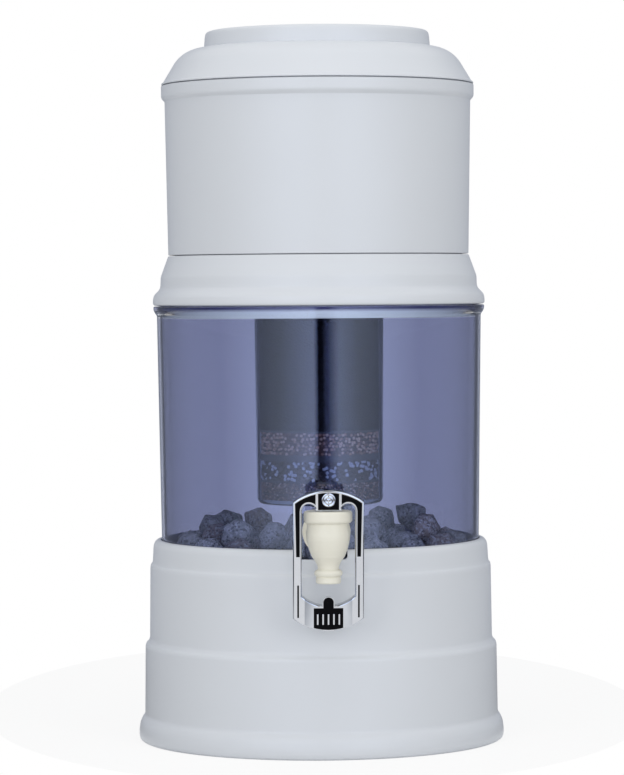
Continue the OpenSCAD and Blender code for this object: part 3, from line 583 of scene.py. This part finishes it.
edges = {"sharp": 32, "bevelSteps": 3, "flatter": 0.3, "flatWeight": 90}  # sharp and flatter in degrees


def softSharp(piece):
    mesh = piece.data
    mesh.shade_smooth()
    mesh.set_sharp_from_angle(angle=math.radians(edges["sharp"]))
    return piece


coreRadius = 0.0005  # metres, of the circle that an outline is swept along


def turned(name, outline, slotName, segments):
    # the area of the outline decides its direction, so that faces point outwards
    area = sum(a[0] * b[1] - b[0] * a[1] for a, b in zip(outline, outline[1:] + outline[:1]))
    points = outline if area < 0 else outline[::-1]
    mesh = bpy.data.meshes.new(name)
    count = len(points)
    links = [(i, (i + 1) % count) for i in range(count)]
    mesh.from_pydata([(r * mm, 0, z * mm) for r, z in points], links, [])
    piece = runTree(newPiece(name, mesh), trees["turned"], {
        "Segments": segments, "Core Radius": coreRadius, "Finish": finish[slotName],
    })
    return softSharp(piece)


def cutWith(piece, cutter):
    modifier = piece.modifiers.new("cut", "BOOLEAN")
    modifier.operation = "DIFFERENCE"
    modifier.object = cutter
    modifier.solver = "EXACT"
    settle(piece)
    bpy.data.objects.remove(cutter)
    return softSharp(piece)


def prism(name, outline, depth, matrix):
    # a flat outline in the XZ plane given a depth along Y
    builder = bmesh.new()
    front = [builder.verts.new((x * mm, 0, z * mm)) for x, z in outline]
    builder.faces.new(front)
    made = bmesh.ops.extrude_face_region(builder, geom=list(builder.faces))
    moved = [item for item in made["geom"] if isinstance(item, bmesh.types.BMVert)]
    bmesh.ops.translate(builder, vec=(0, depth * mm, 0), verts=moved)
    bmesh.ops.recalc_face_normals(builder, faces=list(builder.faces))
    mesh = meshFrom(builder, name)
    mesh.transform(matrix)
    return newPiece(name, mesh)


def dressed(piece, body, slotName, *nodes):
    if nodes:
        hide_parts(*nodes)
    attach(piece, body)
    return piece


def frontOf(plate):
    return Vector((0, -math.cos(plate["lean"]), -math.sin(plate["lean"])))


def roundOutline(builder, plate):
    # rounds the edges between a leaning plate's flat front and its full-height sides
    out = frontOf(plate)
    front = max(corner.co.dot(out) for corner in builder.verts)
    bmesh.ops.triangulate(builder, faces=list(builder.faces), ngon_method="BEAUTY")
    builder.normal_update()

    def isFront(side):
        depth = front - side.calc_center_median().dot(out)
        return side.normal.dot(out) > plate["facing"] and depth < plate["skin"] * mm

    def isSide(side):
        depth = front - min(c.co.dot(out) for c in side.verts)
        return abs(side.normal.dot(out)) < plate["aside"] and depth > plate["deep"] * mm

    chosen = []
    for edge in builder.edges:
        middle = (edge.verts[0].co + edge.verts[1].co) / 2
        nub = abs(middle.x) < plate["nub"] * mm and middle.z < tapZ * mm
        if len(edge.link_faces) == 2 and not nub:
            one, other = edge.link_faces
            if (isFront(one) and isSide(other)) or (isFront(other) and isSide(one)):
                chosen.append(edge)
    bmesh.ops.bevel(
        builder, geom=chosen, offset=plate["round"] * mm, offset_type="OFFSET", segments=plate["steps"],
        profile=0.5, affect="EDGES", clamp_overlap=False, loop_slide=False,
    )


def cleanCopy(name, node, slotName, bevel=0.0, plate=None):
    # a merged copy of a node's mesh, with its hard edges rounded
    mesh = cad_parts[node].data.copy()
    mesh.name = name
    builder = bmesh.new()
    builder.from_mesh(mesh)
    bmesh.ops.remove_doubles(builder, verts=list(builder.verts), dist=mergeDistance)
    bmesh.ops.dissolve_limit(
        builder, angle_limit=math.radians(edges["flatter"]),
        verts=list(builder.verts), edges=list(builder.edges),
    )
    if plate:
        roundOutline(builder, plate)
    builder.to_mesh(mesh)
    builder.free()
    mesh.materials.clear()
    mesh.materials.append(finish[slotName])
    piece = newPiece(name, mesh)
    if bevel:
        modifier = piece.modifiers.new("edges", "BEVEL")
        modifier.width = bevel * mm
        modifier.segments = edges["bevelSteps"]
        modifier.limit_method = "ANGLE"
        modifier.angle_limit = math.radians(edges["sharp"])
        modifier.use_clamp_overlap = True
        modifier.harden_normals = False
        settle(piece)
    softSharp(piece)
    if plate:
        out = frontOf(plate)
        for side in piece.data.polygons:
            side.use_smooth = abs(side.normal.dot(out)) < plate["flat"]
        return piece
    modifier = piece.modifiers.new("flatFaces", "WEIGHTED_NORMAL")
    modifier.weight = edges["flatWeight"]
    modifier.keep_sharp = True
    return settle(piece)


def makeStand():
    size = {
        "wall": 3.0, "deck": 3.0, "recess": 106.2, "ledge": 66.5, "topLedge": deckZ + 3,
        "ribThick": 2.5, "ribFrom": 40.0, "ribDepth": 10.0, "ribs": 8,
        "notchHalf": 15.3, "notchLow": 127.1, "notchTurn": -1.0, "rim": 4.0, "rimDrop": 5.5,
    }
    bottomR = footR - 4.5
    middleR = bottomR - 3.6
    topR = middleR - 2.2
    underDeck = deckZ - size["deck"]
    outline = [
        (0, underDeck), (middleR - size["wall"], underDeck, 1.5),
        (middleR - size["wall"], size["ledge"] - 7, 1), (bottomR - size["wall"], size["ledge"] - 7, 1),
        (bottomR - size["wall"], 0, 0.5), (footR - 1.8, 0, 0.8),
        (footR - 0.5, 1.0, 0.8), (footR, 3.2, 1.2), (footR, 6.8, 2.0), (footR - 0.7, 11.2, 2.6),
        (footR - 1.9, 14.2, 2.0), (bottomR + 0.6, 17.0, 2.0), (bottomR, size["ledge"] - 4.2, 2),
        (bottomR - 0.5, size["ledge"] - 2.4, 1.2), (middleR + 1.7, size["ledge"] - 1.2, 1.4),
        (middleR + 0.6, size["ledge"] + 1.0, 1.4), (middleR, size["topLedge"] - 4, 2),
        (middleR - 0.3, size["topLedge"] - 2.0, 0.9), (topR + 0.8, size["topLedge"] - 0.8, 0.9),
        (topR + 0.5, size["topLedge"] + 1.0, 0.9), (topR + 0.1, standTop - size["rimDrop"] - 1, 1),
        *arc((topR - size["rim"], standTop - size["rimDrop"]), size["rim"], 6, 90, 10, size["rimDrop"]),
        (size["recess"], standTop, 0.7),
        (size["recess"], deckZ, 1.0), (0, deckZ),
    ]
    piece = turned("standShell", rounded(outline), "white_plastic", 240)
    half, low, top = size["notchHalf"], size["notchLow"], standTop + 2
    notch = [
        *arc((-half + 2, low + 2), 2, 180, 270, 6), *arc((half - 2, low + 2), 2, 270, 360, 6),
        (half, top), (-half, top),
    ]
    turn = Matrix.Rotation(math.radians(size["notchTurn"]), 4, "Z")
    cutter = prism("notchCutter", notch, 14.0, turn @ Matrix.Translation((0, -(topR + 4) * mm, 0)))
    cutWith(piece, cutter)
    rib = prism(
        "standRibs",
        [(size["ribFrom"], underDeck + 0.5), (middleR - size["wall"] + 0.4, underDeck + 0.5),
         (middleR - size["wall"] + 0.4, underDeck - size["ribDepth"]),
         (size["ribFrom"] + 3, underDeck - size["ribDepth"]), (size["ribFrom"], underDeck - 2)],
        size["ribThick"], Matrix.Translation((0, -size["ribThick"] / 2 * mm, 0)),
    )
    runTree(rib, trees["ring"], {
        "Count": size["ribs"], "First Angle": math.pi / size["ribs"], "Finish": finish["white_plastic"],
    })
    softSharp(rib)
    dressed(rib, "stand", "white_plastic", "stand_shell")
    return dressed(piece, "stand", "white_plastic", "stand_shell")


def makeLowerTank():
    size = {"foot": 105.4, "draft": 2.5, "wall": 3.0, "floor": 3.5, "bead": 6.2, "hole": 8.6}
    top = size["foot"] + size["draft"]
    slope = size["draft"] / (rimZ - deckZ)

    def wallAt(z):
        return size["foot"] + slope * (z - deckZ)

    floorZ = deckZ + size["floor"]
    outline = [
        (0, deckZ), *arc((wallAt(deckZ + 4) - 4, deckZ + 4), 4, -90, 0, 10),
        (wallAt(rimZ - size["bead"]), rimZ - size["bead"], 1.2), (rimR - 0.9, rimZ - 4.4, 1.0),
        (rimR, rimZ - 2.4, 1.0), *arc((rimR - 0.8, rimZ - 0.8), 0.8, 0, 90, 6),
        (top - size["wall"], rimZ, 0.5),
        *arc((wallAt(floorZ + 3) - size["wall"] - 3, floorZ + 3), 3, 0, -90, 8), (0, floorZ),
    ]
    piece = turned("lowerTank", rounded(outline), "tank_blue", 256)
    hole = arc((0, tapZ), size["hole"], 0, 360, 48)[:-1]
    cutter = prism("holeCutter", hole, 20.0, Matrix.Translation((0, -(size["foot"] + 10) * mm, 0)))
    cutWith(piece, cutter)
    return dressed(piece, "lower_tank", "tank_blue", "lower_tank")


def looseParts(mesh):
    # vertex groups that hang together, as lists of indices
    parent = list(range(len(mesh.vertices)))

    def root(i):
        while parent[i] != i:
            parent[i] = parent[parent[i]]
            i = parent[i]
        return i

    for edge in mesh.edges:
        a, b = root(edge.vertices[0]), root(edge.vertices[1])
        if a != b:
            parent[a] = b
    groups = {}
    for i in range(len(mesh.vertices)):
        groups.setdefault(root(i), []).append(i)
    return list(groups.values())


def makeStones():
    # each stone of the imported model, with its edges worn round and its sides uneven
    size = {
        "level": 4, "soft": 0.045, "swell": 1.02, "uneven": 0.05, "fine": 0.018,
        "graze": 0.2, "warmShare": 0.24, "seed": 5,
    }
    source = bmesh.new()
    source.from_mesh(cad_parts["mineral_stones"].data)
    bmesh.ops.remove_doubles(source, verts=list(source.verts), dist=mergeDistance)
    merged = meshFrom(source, "stoneSource")
    builder = bmesh.new()
    toneLayer = builder.verts.layers.float.new("tone")
    warmLayer = builder.verts.layers.float.new("warm")
    groups = sorted(looseParts(merged), key=lambda group: min(group))
    for number, group in enumerate(groups):
        members = set(group)
        corners = [merged.vertices[i].co for i in group]
        centre = sum(corners, Vector()) / len(corners)
        reachOf = max((c - centre).length for c in corners)
        sides = [side for side in merged.polygons if side.vertices[0] in members]
        planes = [(s.normal.copy(), s.normal.dot(s.center - centre) / reachOf) for s in sides]
        made = bmesh.ops.create_icosphere(builder, subdivisions=size["level"], radius=1.0)
        seed = Vector((number * 7.31, number * 3.17 + size["seed"], number * 1.93))
        tone = 0.5 + 0.9 * noise.noise(seed + Vector((0.3, 0.7, 0.1)))
        warm = 1.0 if (number * 37) % 100 < size["warmShare"] * 100 else 0.0
        for vertex in made["verts"]:
            point = vertex.co.normalized()
            reach = 1.0
            for direction, distance in planes:
                along = point.dot(direction)
                if along > size["graze"]:
                    reach = softMin(reach, distance / along, size["soft"])
            reach = min(reach * size["swell"], 1.0)
            reach *= 1 + size["uneven"] * (noise.noise(point * 1.7 + seed) - 0.3)
            reach *= 1 + size["fine"] * (noise.noise(point * 6.0 + seed) - 0.3)
            vertex.co = centre + point * (reachOf * reach)
            vertex[toneLayer] = min(max(tone, 0), 1)
            vertex[warmLayer] = warm
    mesh = meshFrom(builder, "mineralStones")
    bpy.data.meshes.remove(merged)
    mesh.materials.append(finish["stone"])
    mesh.shade_smooth()
    return dressed(newPiece("mineralStones", mesh), "lower_tank", "stone", "mineral_stones")


def softMin(a, b, width):
    h = min(max(0.5 + 0.5 * (b - a) / width, 0), 1)
    return b * (1 - h) + a * h - width * h * (1 - h)


def makeCollar():
    size = {
        "height": 33.3, "skirt": 7.7, "skirtIn": 102.3, "skirtOut": 104.3, "neck": 105.3, "top": 100.0,
        "ringR": 95.5, "ring": 4.0, "ringW": 2.5, "hole": 46.0, "plate": 3.0, "wall": 3.0,
    }
    neckR, topR, ringR, holeR = size["neck"], size["top"], size["ringR"], size["hole"]
    top = size["height"]
    under = top - size["plate"]
    shell = [
        (size["skirtIn"], -size["skirt"], 0.4), (size["skirtOut"], -size["skirt"], 0.4),
        (size["skirtOut"], 0, 0.2),
        *arc((collarR - 1.6, 2.2), 1.6, -75, 0, 6), (collarR, 4.2, 0.8), (collarR - 0.5, 6.6, 1.0),
        (collarR - 1.3, 8.0, 0.9), (collarR - 2.6, 9.3, 1.0), (collarR - 3.9, 10.6, 1.0),
        (neckR + 0.25, 12.2, 1.0), (neckR, 14.0, 1.5), (neckR - 0.2, 19.4, 1.4),
        (neckR - 1.3, 22.4, 1.2), (topR, top, 0.6), (ringR, top, 0.3),
        (ringR, top + size["ring"], 0.5), (ringR - size["ringW"], top + size["ring"], 0.5),
        (ringR - size["ringW"], top, 0.3), (holeR, top, 0.6),
        (holeR, under, 0.6), (topR - size["wall"], under, 0.8), (size["skirtIn"], 18.1, 0.8),
    ]
    outline = [(p[0], p[1] + rimZ, *p[2:]) for p in shell]
    piece = turned("collarRing", rounded(outline), "white_plastic", 240)
    return dressed(piece, "collar", "white_plastic", "collar")


def makeUpperTank():
    size = {
        "foot": 99.9, "draft": 1.7, "wall": 2.5, "floor": 3.0, "ring": 3.4, "hole": 9.5, "flange": 10.2,
    }
    under = upperZ + size["ring"]
    wallTop = size["foot"] + size["draft"]
    low = upperTop - size["flange"]
    outline = [
        (size["hole"], under, 0.3), (size["foot"] - size["wall"], under, 0.4),
        (size["foot"] - size["wall"], upperZ, 0.4), (size["foot"], upperZ, 0.6),
        (wallTop, low, 0.4), (flangeR - 0.8, upperTop - 8.6, 0.5),
        (flangeR - 0.1, upperTop - 7.4, 0.5), (flangeR, upperTop - 6.2, 0.5),
        (flangeR, upperTop, 0.35), (wallTop - size["wall"], upperTop, 0.6),
        (size["foot"] - size["wall"], under + size["floor"], 2.0),
        (size["hole"], under + size["floor"], 0.3),
    ]
    piece = turned("upperTank", rounded(outline), "white_plastic", 240)
    return dressed(piece, "upper_tank", "white_plastic", "upper_tank")


def makeLid():
    # the slope starts inside the lip and is tangent to the bend; a shadow gap runs under the lip
    size = {
        "disc": 74.9, "discH": 11.0, "wall": 2.5, "lip": 1.8, "skirt": 98.4, "skirtH": 6.0,
        "bend": 22.2, "slope": 31.0, "edge": 2.5, "gapIn": 4.0, "gapH": 0.85,
    }
    discZ = lidTop - size["discH"]
    slopeR, slopeZ = flangeR - 1.2, upperTop + size["lip"] + 0.4
    lean = math.radians(size["slope"])
    bendZ = discZ - size["bend"]
    bendR = slopeR - (bendZ + size["bend"] * math.sin(lean) - slopeZ) * math.tan(lean)
    bendR -= size["bend"] * math.cos(lean)
    inner = arc((bendR, bendZ), size["bend"] - size["wall"], 90, size["slope"], 16)
    innerLow = upperTop + size["wall"]
    innerR = size["disc"] - size["wall"] - 2
    outline = [
        (size["skirt"] - 2, upperTop - size["skirtH"], 0.4),
        (size["skirt"], upperTop - size["skirtH"], 0.4),
        (size["skirt"], upperTop, 0.2), (flangeR - size["gapIn"], upperTop, 0.15),
        (flangeR - size["gapIn"], upperTop + size["gapH"], 0.15),
        (flangeR - 0.25, upperTop + size["gapH"], 0.2),
        (flangeR - 0.25, upperTop + size["lip"], 0.35), (slopeR, slopeZ, 0.3),
        *arc((bendR, bendZ), size["bend"], size["slope"], 90, 20),
        (size["disc"] + 0.2, discZ + 0.1, 0.3), (size["disc"] - 0.3, lidTop - 4.0, 1.0),
        *arc((size["disc"] - 0.6 - size["edge"], lidTop - size["edge"]), size["edge"], 8, 90, 8),
        (0, lidTop), (0, lidTop - size["wall"]),
        (innerR, lidTop - size["wall"], 1.5), (innerR, discZ - size["wall"], 0.8),
        *inner, (inner[-1][0] + (inner[-1][1] - innerLow) * math.tan(lean), innerLow, 0.5),
        (size["skirt"] - 2, innerLow, 0.5),
    ]
    piece = turned("lidShell", rounded(outline), "white_plastic", 240)
    return dressed(piece, "lid", "white_plastic", "lid")


cartridge = {"wall": 2.5, "draft": 0.9, "lip": 6.0, "corner": 4.0, "gap": 0.35}


def wallInside(z):
    share = (cartridgeTop - z) / (cartridgeTop - cartridgeZ)
    return cartridgeR - cartridge["wall"] - cartridge["draft"] * share


def makeCartridge():
    lowR = cartridgeR - cartridge["draft"]
    grilleZ = boxOf("outlet_grille")[0][2]
    lipR = wallInside(grilleZ) - cartridge["lip"]
    corner = cartridge["corner"]
    outline = [
        (lipR, cartridgeZ, 0.3), *arc((lowR - corner, cartridgeZ + corner), corner, -90, 0, 8),
        (cartridgeR, cartridgeTop, 0.3), (cartridgeR - cartridge["wall"], cartridgeTop, 0.3),
        (wallInside(grilleZ), grilleZ), (lipR, grilleZ, 0.3),
    ]
    shell = turned("cartridgeShell", rounded(outline), "cartridge_clear", 160)
    return dressed(shell, "upper_tank", "cartridge_clear", "cartridge_shell")


def bedCore(name, low, high, inset, slotName):
    bottom, top = wallInside(low) - inset, wallInside(high) - inset
    outline = [(0, low), (bottom, low, 0.3), (top, high, 0.3), (0, high)]
    return turned(name, rounded(outline), slotName, 128)


packing = {"core": 0.62, "headroom": 0.2, "row": 0.87}  # shares of a ball, and of the pitch for row


def makeBed(name, node, slotName, options):
    low, high = boxOf(node)[0][2], boxOf(node)[1][2]
    ball = options["ball"]
    # the core inside the balls takes the fill's first colour, a dark painted shade in the gaps between
    # the balls
    core = bedCore(name, low, high, ball * packing["core"] + cartridge["gap"], slotName)
    pitch = options["pitch"] * ball
    rows = int((high - low - ball * packing["headroom"]) / (pitch * packing["row"]))
    step = (high - low) / rows
    lowR = wallInside(low) - ball / 2 - cartridge["gap"]
    highR = wallInside(high) - ball / 2 - cartridge["gap"]
    runTree(core, trees["fill"], {
        "Around": int(2 * math.pi * lowR / pitch), "Rows": rows, "Seed": options["seed"],
        "Low": low * mm, "Row Height": step * mm, "Low Radius": lowR * mm,
        "Radius Gain": (highR - lowR) / rows * mm, "Size": ball * mm, "Jitter": options["jitter"],
        "Pale Share": options["pale"], "Cluster": options["cluster"], "Finish": finish[slotName],
    })
    return dressed(core, "upper_tank", slotName, node)


def makeCarbon():
    low, high = boxOf("carbon_bed")[0][2], boxOf("carbon_bed")[1][2]
    core = bedCore("carbonBed", low, high, cartridge["gap"], "carbon")
    return dressed(core, "upper_tank", "carbon", "carbon_bed")


beds = {
    "brownBalls": ("brown_ball_bed", "brown_ceramic", {
        "ball": 2.2, "pitch": 1.1, "jitter": 0.6, "pale": 0.5, "cluster": 420.0, "seed": 11,
    }),
    "whiteBalls": ("white_ball_bed", "white_ceramic", {
        "ball": 2.6, "pitch": 1.0, "jitter": 0.7, "pale": 0.5, "cluster": 140.0, "seed": 23,
    }),
    "sandGrains": ("sand_bed", "sand", {
        "ball": 1.5, "pitch": 1.05, "jitter": 0.7, "pale": 0.4, "cluster": 500.0, "seed": 37,
    }),
}

print("stand, tanks and lid")
makeStand()
makeLowerTank()
makeStones()
makeCollar()
makeUpperTank()
makeLid()

print("cartridge")
makeCartridge()
makeCarbon()
for bedName, (nodeName, bedSlot, bedOptions) in beds.items():
    makeBed(bedName, nodeName, bedSlot, bedOptions)

print("tap and lever")
copies = {
    "leverDisc": ("lever_disc", "lever", "chrome", 0.25),
    "paddleMarks": ("paddle_marks", "lever", "chrome", 0.15),
    "tapBonnet": ("tap_bonnet", "lower_tank", "cream_plastic", 0.5),
    "tapLockNut": ("tap_lock_nut", "lower_tank", "cream_plastic", 0.4),
}
for copyName, (nodeName, bodyName, slotName, width) in copies.items():
    dressed(cleanCopy(copyName, nodeName, slotName, width), bodyName, slotName, nodeName)
# facing, aside and flat are cosines against the plate's front; round, nub, skin and deep are in mm
leverShape = {
    "lean": math.radians(11.25), "round": 0.7, "steps": 4, "nub": 5, "skin": 0.7, "deep": 2,
    "facing": 0.99, "aside": 0.2, "flat": 0.999,
}
leverCopy = cleanCopy("leverFrame", "lever_frame", "chrome", plate=leverShape)
dressed(leverCopy, "lever", "chrome", "lever_frame")

reliefs = {"leverDisc": ("chromeStud", turnedGrooves), "leverFrame": ("chromeFrame", dishedPaddle)}
for copyName, (finishName, relief) in reliefs.items():
    plated = polishedMetal(finishName, *chromeLook, relief=relief)
    bpy.data.objects[copyName].data.materials[0] = plated

print("nodes that stay")
for nodeName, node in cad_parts.items():
    slotOfNode = node.data.materials[0].name.split(".")[0] if node.data.materials else "white_plastic"
    node.data.materials.clear()
    node.data.materials.append(finish[slotOfNode])


# Shares of mirrorHalf to either side of the axis, and what a mirror sees there
mirroredFloor = (
    (0.0, rgb(0.98, 0.98, 1.0)), (0.2, rgb(0.9, 0.92, 0.96)), (0.32, rgb(0.5, 0.52, 0.56)),
    (0.42, rgb(0.85, 0.87, 0.9)), (0.5, rgb(0.12, 0.12, 0.14)), (0.8, rgb(0.03, 0.03, 0.04)),
)


def makeStage():
    size = {
        "radius": 0.65, "discX": 0.0, "discY": 0.188, "halfWidth": 0.235, "halfDepth": 0.419,
        "discEdge": (0.997, 1.003), "paint": (0.925, 0.94), "glow": 0.84, "glowGain": 0.16,
        "mirrorHalf": 0.3,
    }
    material, board = newFinish("floorPaint")
    where = board.node("ShaderNodeVectorMath", {"operation": "SUBTRACT"}, {
        0: board.place(), 1: (size["discX"], size["discY"], 0),
    })
    where = board.node("ShaderNodeVectorMath", {"operation": "DIVIDE"}, {
        0: where, 1: (size["halfWidth"], size["halfDepth"], 1),
    })
    distance = board.node("ShaderNodeVectorMath", {"operation": "LENGTH"}, {0: where}).out("Value")
    outside = board.spread(distance, *size["discEdge"])
    path = board.node("ShaderNodeLightPath")
    seen = path.out("Is Camera Ray") + path.out("Is Glossy Ray") + path.out("Is Transmission Ray")
    seen = seen.math("MINIMUM", 1.0)
    speckle = board.spread(board.grain(400.0), 0.3, 0.7, *size["paint"])
    paint = board.node("ShaderNodeCombineColor", None, dict.fromkeys(("Red", "Green", "Blue"), speckle))
    diffuse = board.node("ShaderNodeBsdfDiffuse", None, {
        "Color": board.blendColour(path.out("Is Diffuse Ray"), paint, rgb(0.72, 0.72, 0.72)),
    })
    # in mirrors the floor is a pale strip in front of the tap with dark sides
    aside = board.node("ShaderNodeSeparateXYZ", None, {0: board.place()}).out("X").math("ABSOLUTE")
    strip = board.node("ShaderNodeValToRGB", {"stops": mirroredFloor}, {0: aside / size["mirrorHalf"]})
    light = board.blendColour(path.out("Is Glossy Ray"), rgb(1, 1, 1), strip)
    glow = board.node("ShaderNodeEmission", None, {"Color": light, "Strength": 1.0})
    share = seen * (size["glow"] + outside * size["glowGain"])
    share = share.math("MAXIMUM", path.out("Is Glossy Ray"))
    board.surface(board.node("ShaderNodeMixShader", None, {0: share, 1: diffuse, 2: glow}))
    builder = bmesh.new()
    bmesh.ops.create_circle(builder, cap_ends=True, segments=128, radius=size["radius"])
    mesh = meshFrom(builder, "floor")
    mesh.materials.append(material)
    newPiece("floor", mesh)


def makeWorld():
    world = bpy.data.worlds.new("studio")
    scene.world = world
    world.use_nodes = True
    world.node_tree.nodes.clear()
    board = Board(world.node_tree)
    path = board.node("ShaderNodeLightPath")
    seen = path.out("Is Camera Ray") + path.out("Is Glossy Ray") * 0.5 + path.out("Is Transmission Ray")
    ambient = board.node("ShaderNodeBackground", None, {
        "Color": rgb(0.97, 0.985, 1.0), "Strength": 0.62,
    })
    white = board.node("ShaderNodeBackground", None, {"Color": rgb(1, 1, 1), "Strength": 1.0})
    share = seen.math("MINIMUM", 1.0)
    mixed = board.node("ShaderNodeMixShader", None, {0: share, 1: ambient, 2: white})
    board.node("ShaderNodeOutputWorld", None, {"Surface": mixed})


def makeCard(name, card):
    # a studio card with soft left and right edges, seen only in reflections or through clear plastic
    start, end, soft = card["start"], card["end"], card["soft"]
    material, board = newFinish(name + "Paint")
    spot = board.node("ShaderNodeSeparateXYZ", None, {0: board.place()})
    angle = spot.out("X").math("ARCTAN2", spot.out("Y") * -1.0) * (180 / math.pi)
    if end > 180:
        angle = angle.math("LESS_THAN", 0.0) * 360 + angle
    level = board.spread(angle, start, start + soft[0]) * board.spread(angle, end, end - soft[1])
    cloud = board.spread(board.grain(0.8), 0.3, 0.7, 0.96, 1.04)
    lit = board.blendColour(level * cloud, rgb(*card["dark"]), rgb(*card["light"]))
    board.surface(board.node("ShaderNodeEmission", None, {"Color": lit, "Strength": card["power"]}))
    builder = bmesh.new()
    steps = max(2, int((end - start) / 3))
    columns = []
    for i in range(steps + 1):
        a = math.radians(start + (end - start) * i / steps)
        x, y = card["distance"] * math.sin(a), -card["distance"] * math.cos(a)
        columns.append([builder.verts.new((x, y, z)) for z in (card["low"], card["high"])])
    for (a, b), (c, d) in zip(columns, columns[1:]):
        builder.faces.new((a, c, d, b))
    mesh = meshFrom(builder, name)
    mesh.materials.append(material)
    piece = newPiece(name, mesh)
    piece.visible_camera = False
    piece.visible_diffuse = False
    piece.visible_glossy = card["mirrored"]
    piece.visible_transmission = card["through"]
    piece.visible_shadow = False


def makeLamp(name, place, target, width, height, power):
    lamp = bpy.data.lights.new(name, "AREA")
    lamp.shape = "RECTANGLE"
    lamp.size = width
    lamp.size_y = height
    lamp.energy = power
    holder = bpy.data.objects.new(name, lamp)
    holder.location = place
    holder.rotation_euler = (Vector(target) - Vector(place)).to_track_quat("-Z", "Y").to_euler()
    holder.visible_glossy = False
    holder.visible_transmission = False
    scene.collection.objects.link(holder)


def makeCamera():
    setup = {
        "place": (-0.0810, -2.3186, 0.3018), "pan": -1.8807, "dip": 1.687, "roll": -0.4,
        "lens": 161.65, "sensor": 36,
    }
    lens = bpy.data.cameras.new("camera")
    lens.sensor_width = setup["sensor"]
    lens.lens = setup["lens"]
    holder = bpy.data.objects.new("camera", lens)
    pan = Matrix.Rotation(math.radians(setup["pan"]), 4, "Z")
    tilt = Matrix.Rotation(math.radians(90 - setup["dip"]), 4, "X")
    roll = Matrix.Rotation(math.radians(setup["roll"]), 4, "Z")
    holder.matrix_world = Matrix.Translation(setup["place"]) @ pan @ tilt @ roll
    scene.collection.objects.link(holder)
    scene.camera = holder


# Angles round the object from the camera's side, in degrees; distances in metres
plainCard = {
    "soft": (1, 1), "distance": 2.7, "low": -0.6, "high": 2.2, "power": 1.0,
    "through": True, "mirrored": True,
}
brightCard = {**plainCard, "dark": (0.02, 0.02, 0.03), "light": (0.86, 1.0, 1.3)}
drape = {
    **plainCard, "distance": 2.75, "dark": (0.03, 0.03, 0.05), "light": (0.03, 0.03, 0.05),
    "mirrored": False,
}
cards = {
    "leftCard": {**brightCard, "start": -75, "end": -3, "soft": (63, 3), "power": 1.95},
    "gapCard": {
        **plainCard, "start": -3, "end": 4, "dark": (0.01, 0.01, 0.02), "light": (0.01, 0.01, 0.02),
    },
    "rightCard": {**brightCard, "start": 4, "end": 72, "soft": (8, 56), "power": 1.85},
    "backCard": {
        **plainCard, "start": 72, "end": 285, "soft": (30, 30),
        "dark": (0.05, 0.05, 0.06), "light": (0.25, 0.28, 0.36), "through": False,
    },
    "leftDrape": {**drape, "start": -160, "end": -75},
    "rightDrape": {**drape, "start": 72, "end": 160},
}

# Place, point that it faces, width, height and power
middle = (0, 0, 0.25)
lamps = {
    "leftLamp": ((-1.25, -2.2, 0.8), middle, 0.9, 1.4, 9.7),
    "rightLamp": ((1.25, -2.2, 0.8), middle, 0.9, 1.4, 9.7),
    "frontLamp": ((-0.05, -2.5, 0.12), (0, 0, 0.1), 0.9, 0.5, 2.4),
    "topLamp": ((0, -0.3, 1.9), middle, 1.2, 1.2, 6.9),
}

print("stage, lights and camera")
makeStage()
makeWorld()
for lampName, lamp in lamps.items():
    makeLamp(lampName, *lamp)
for cardName, card in cards.items():
    makeCard(cardName, card)
makeCamera()
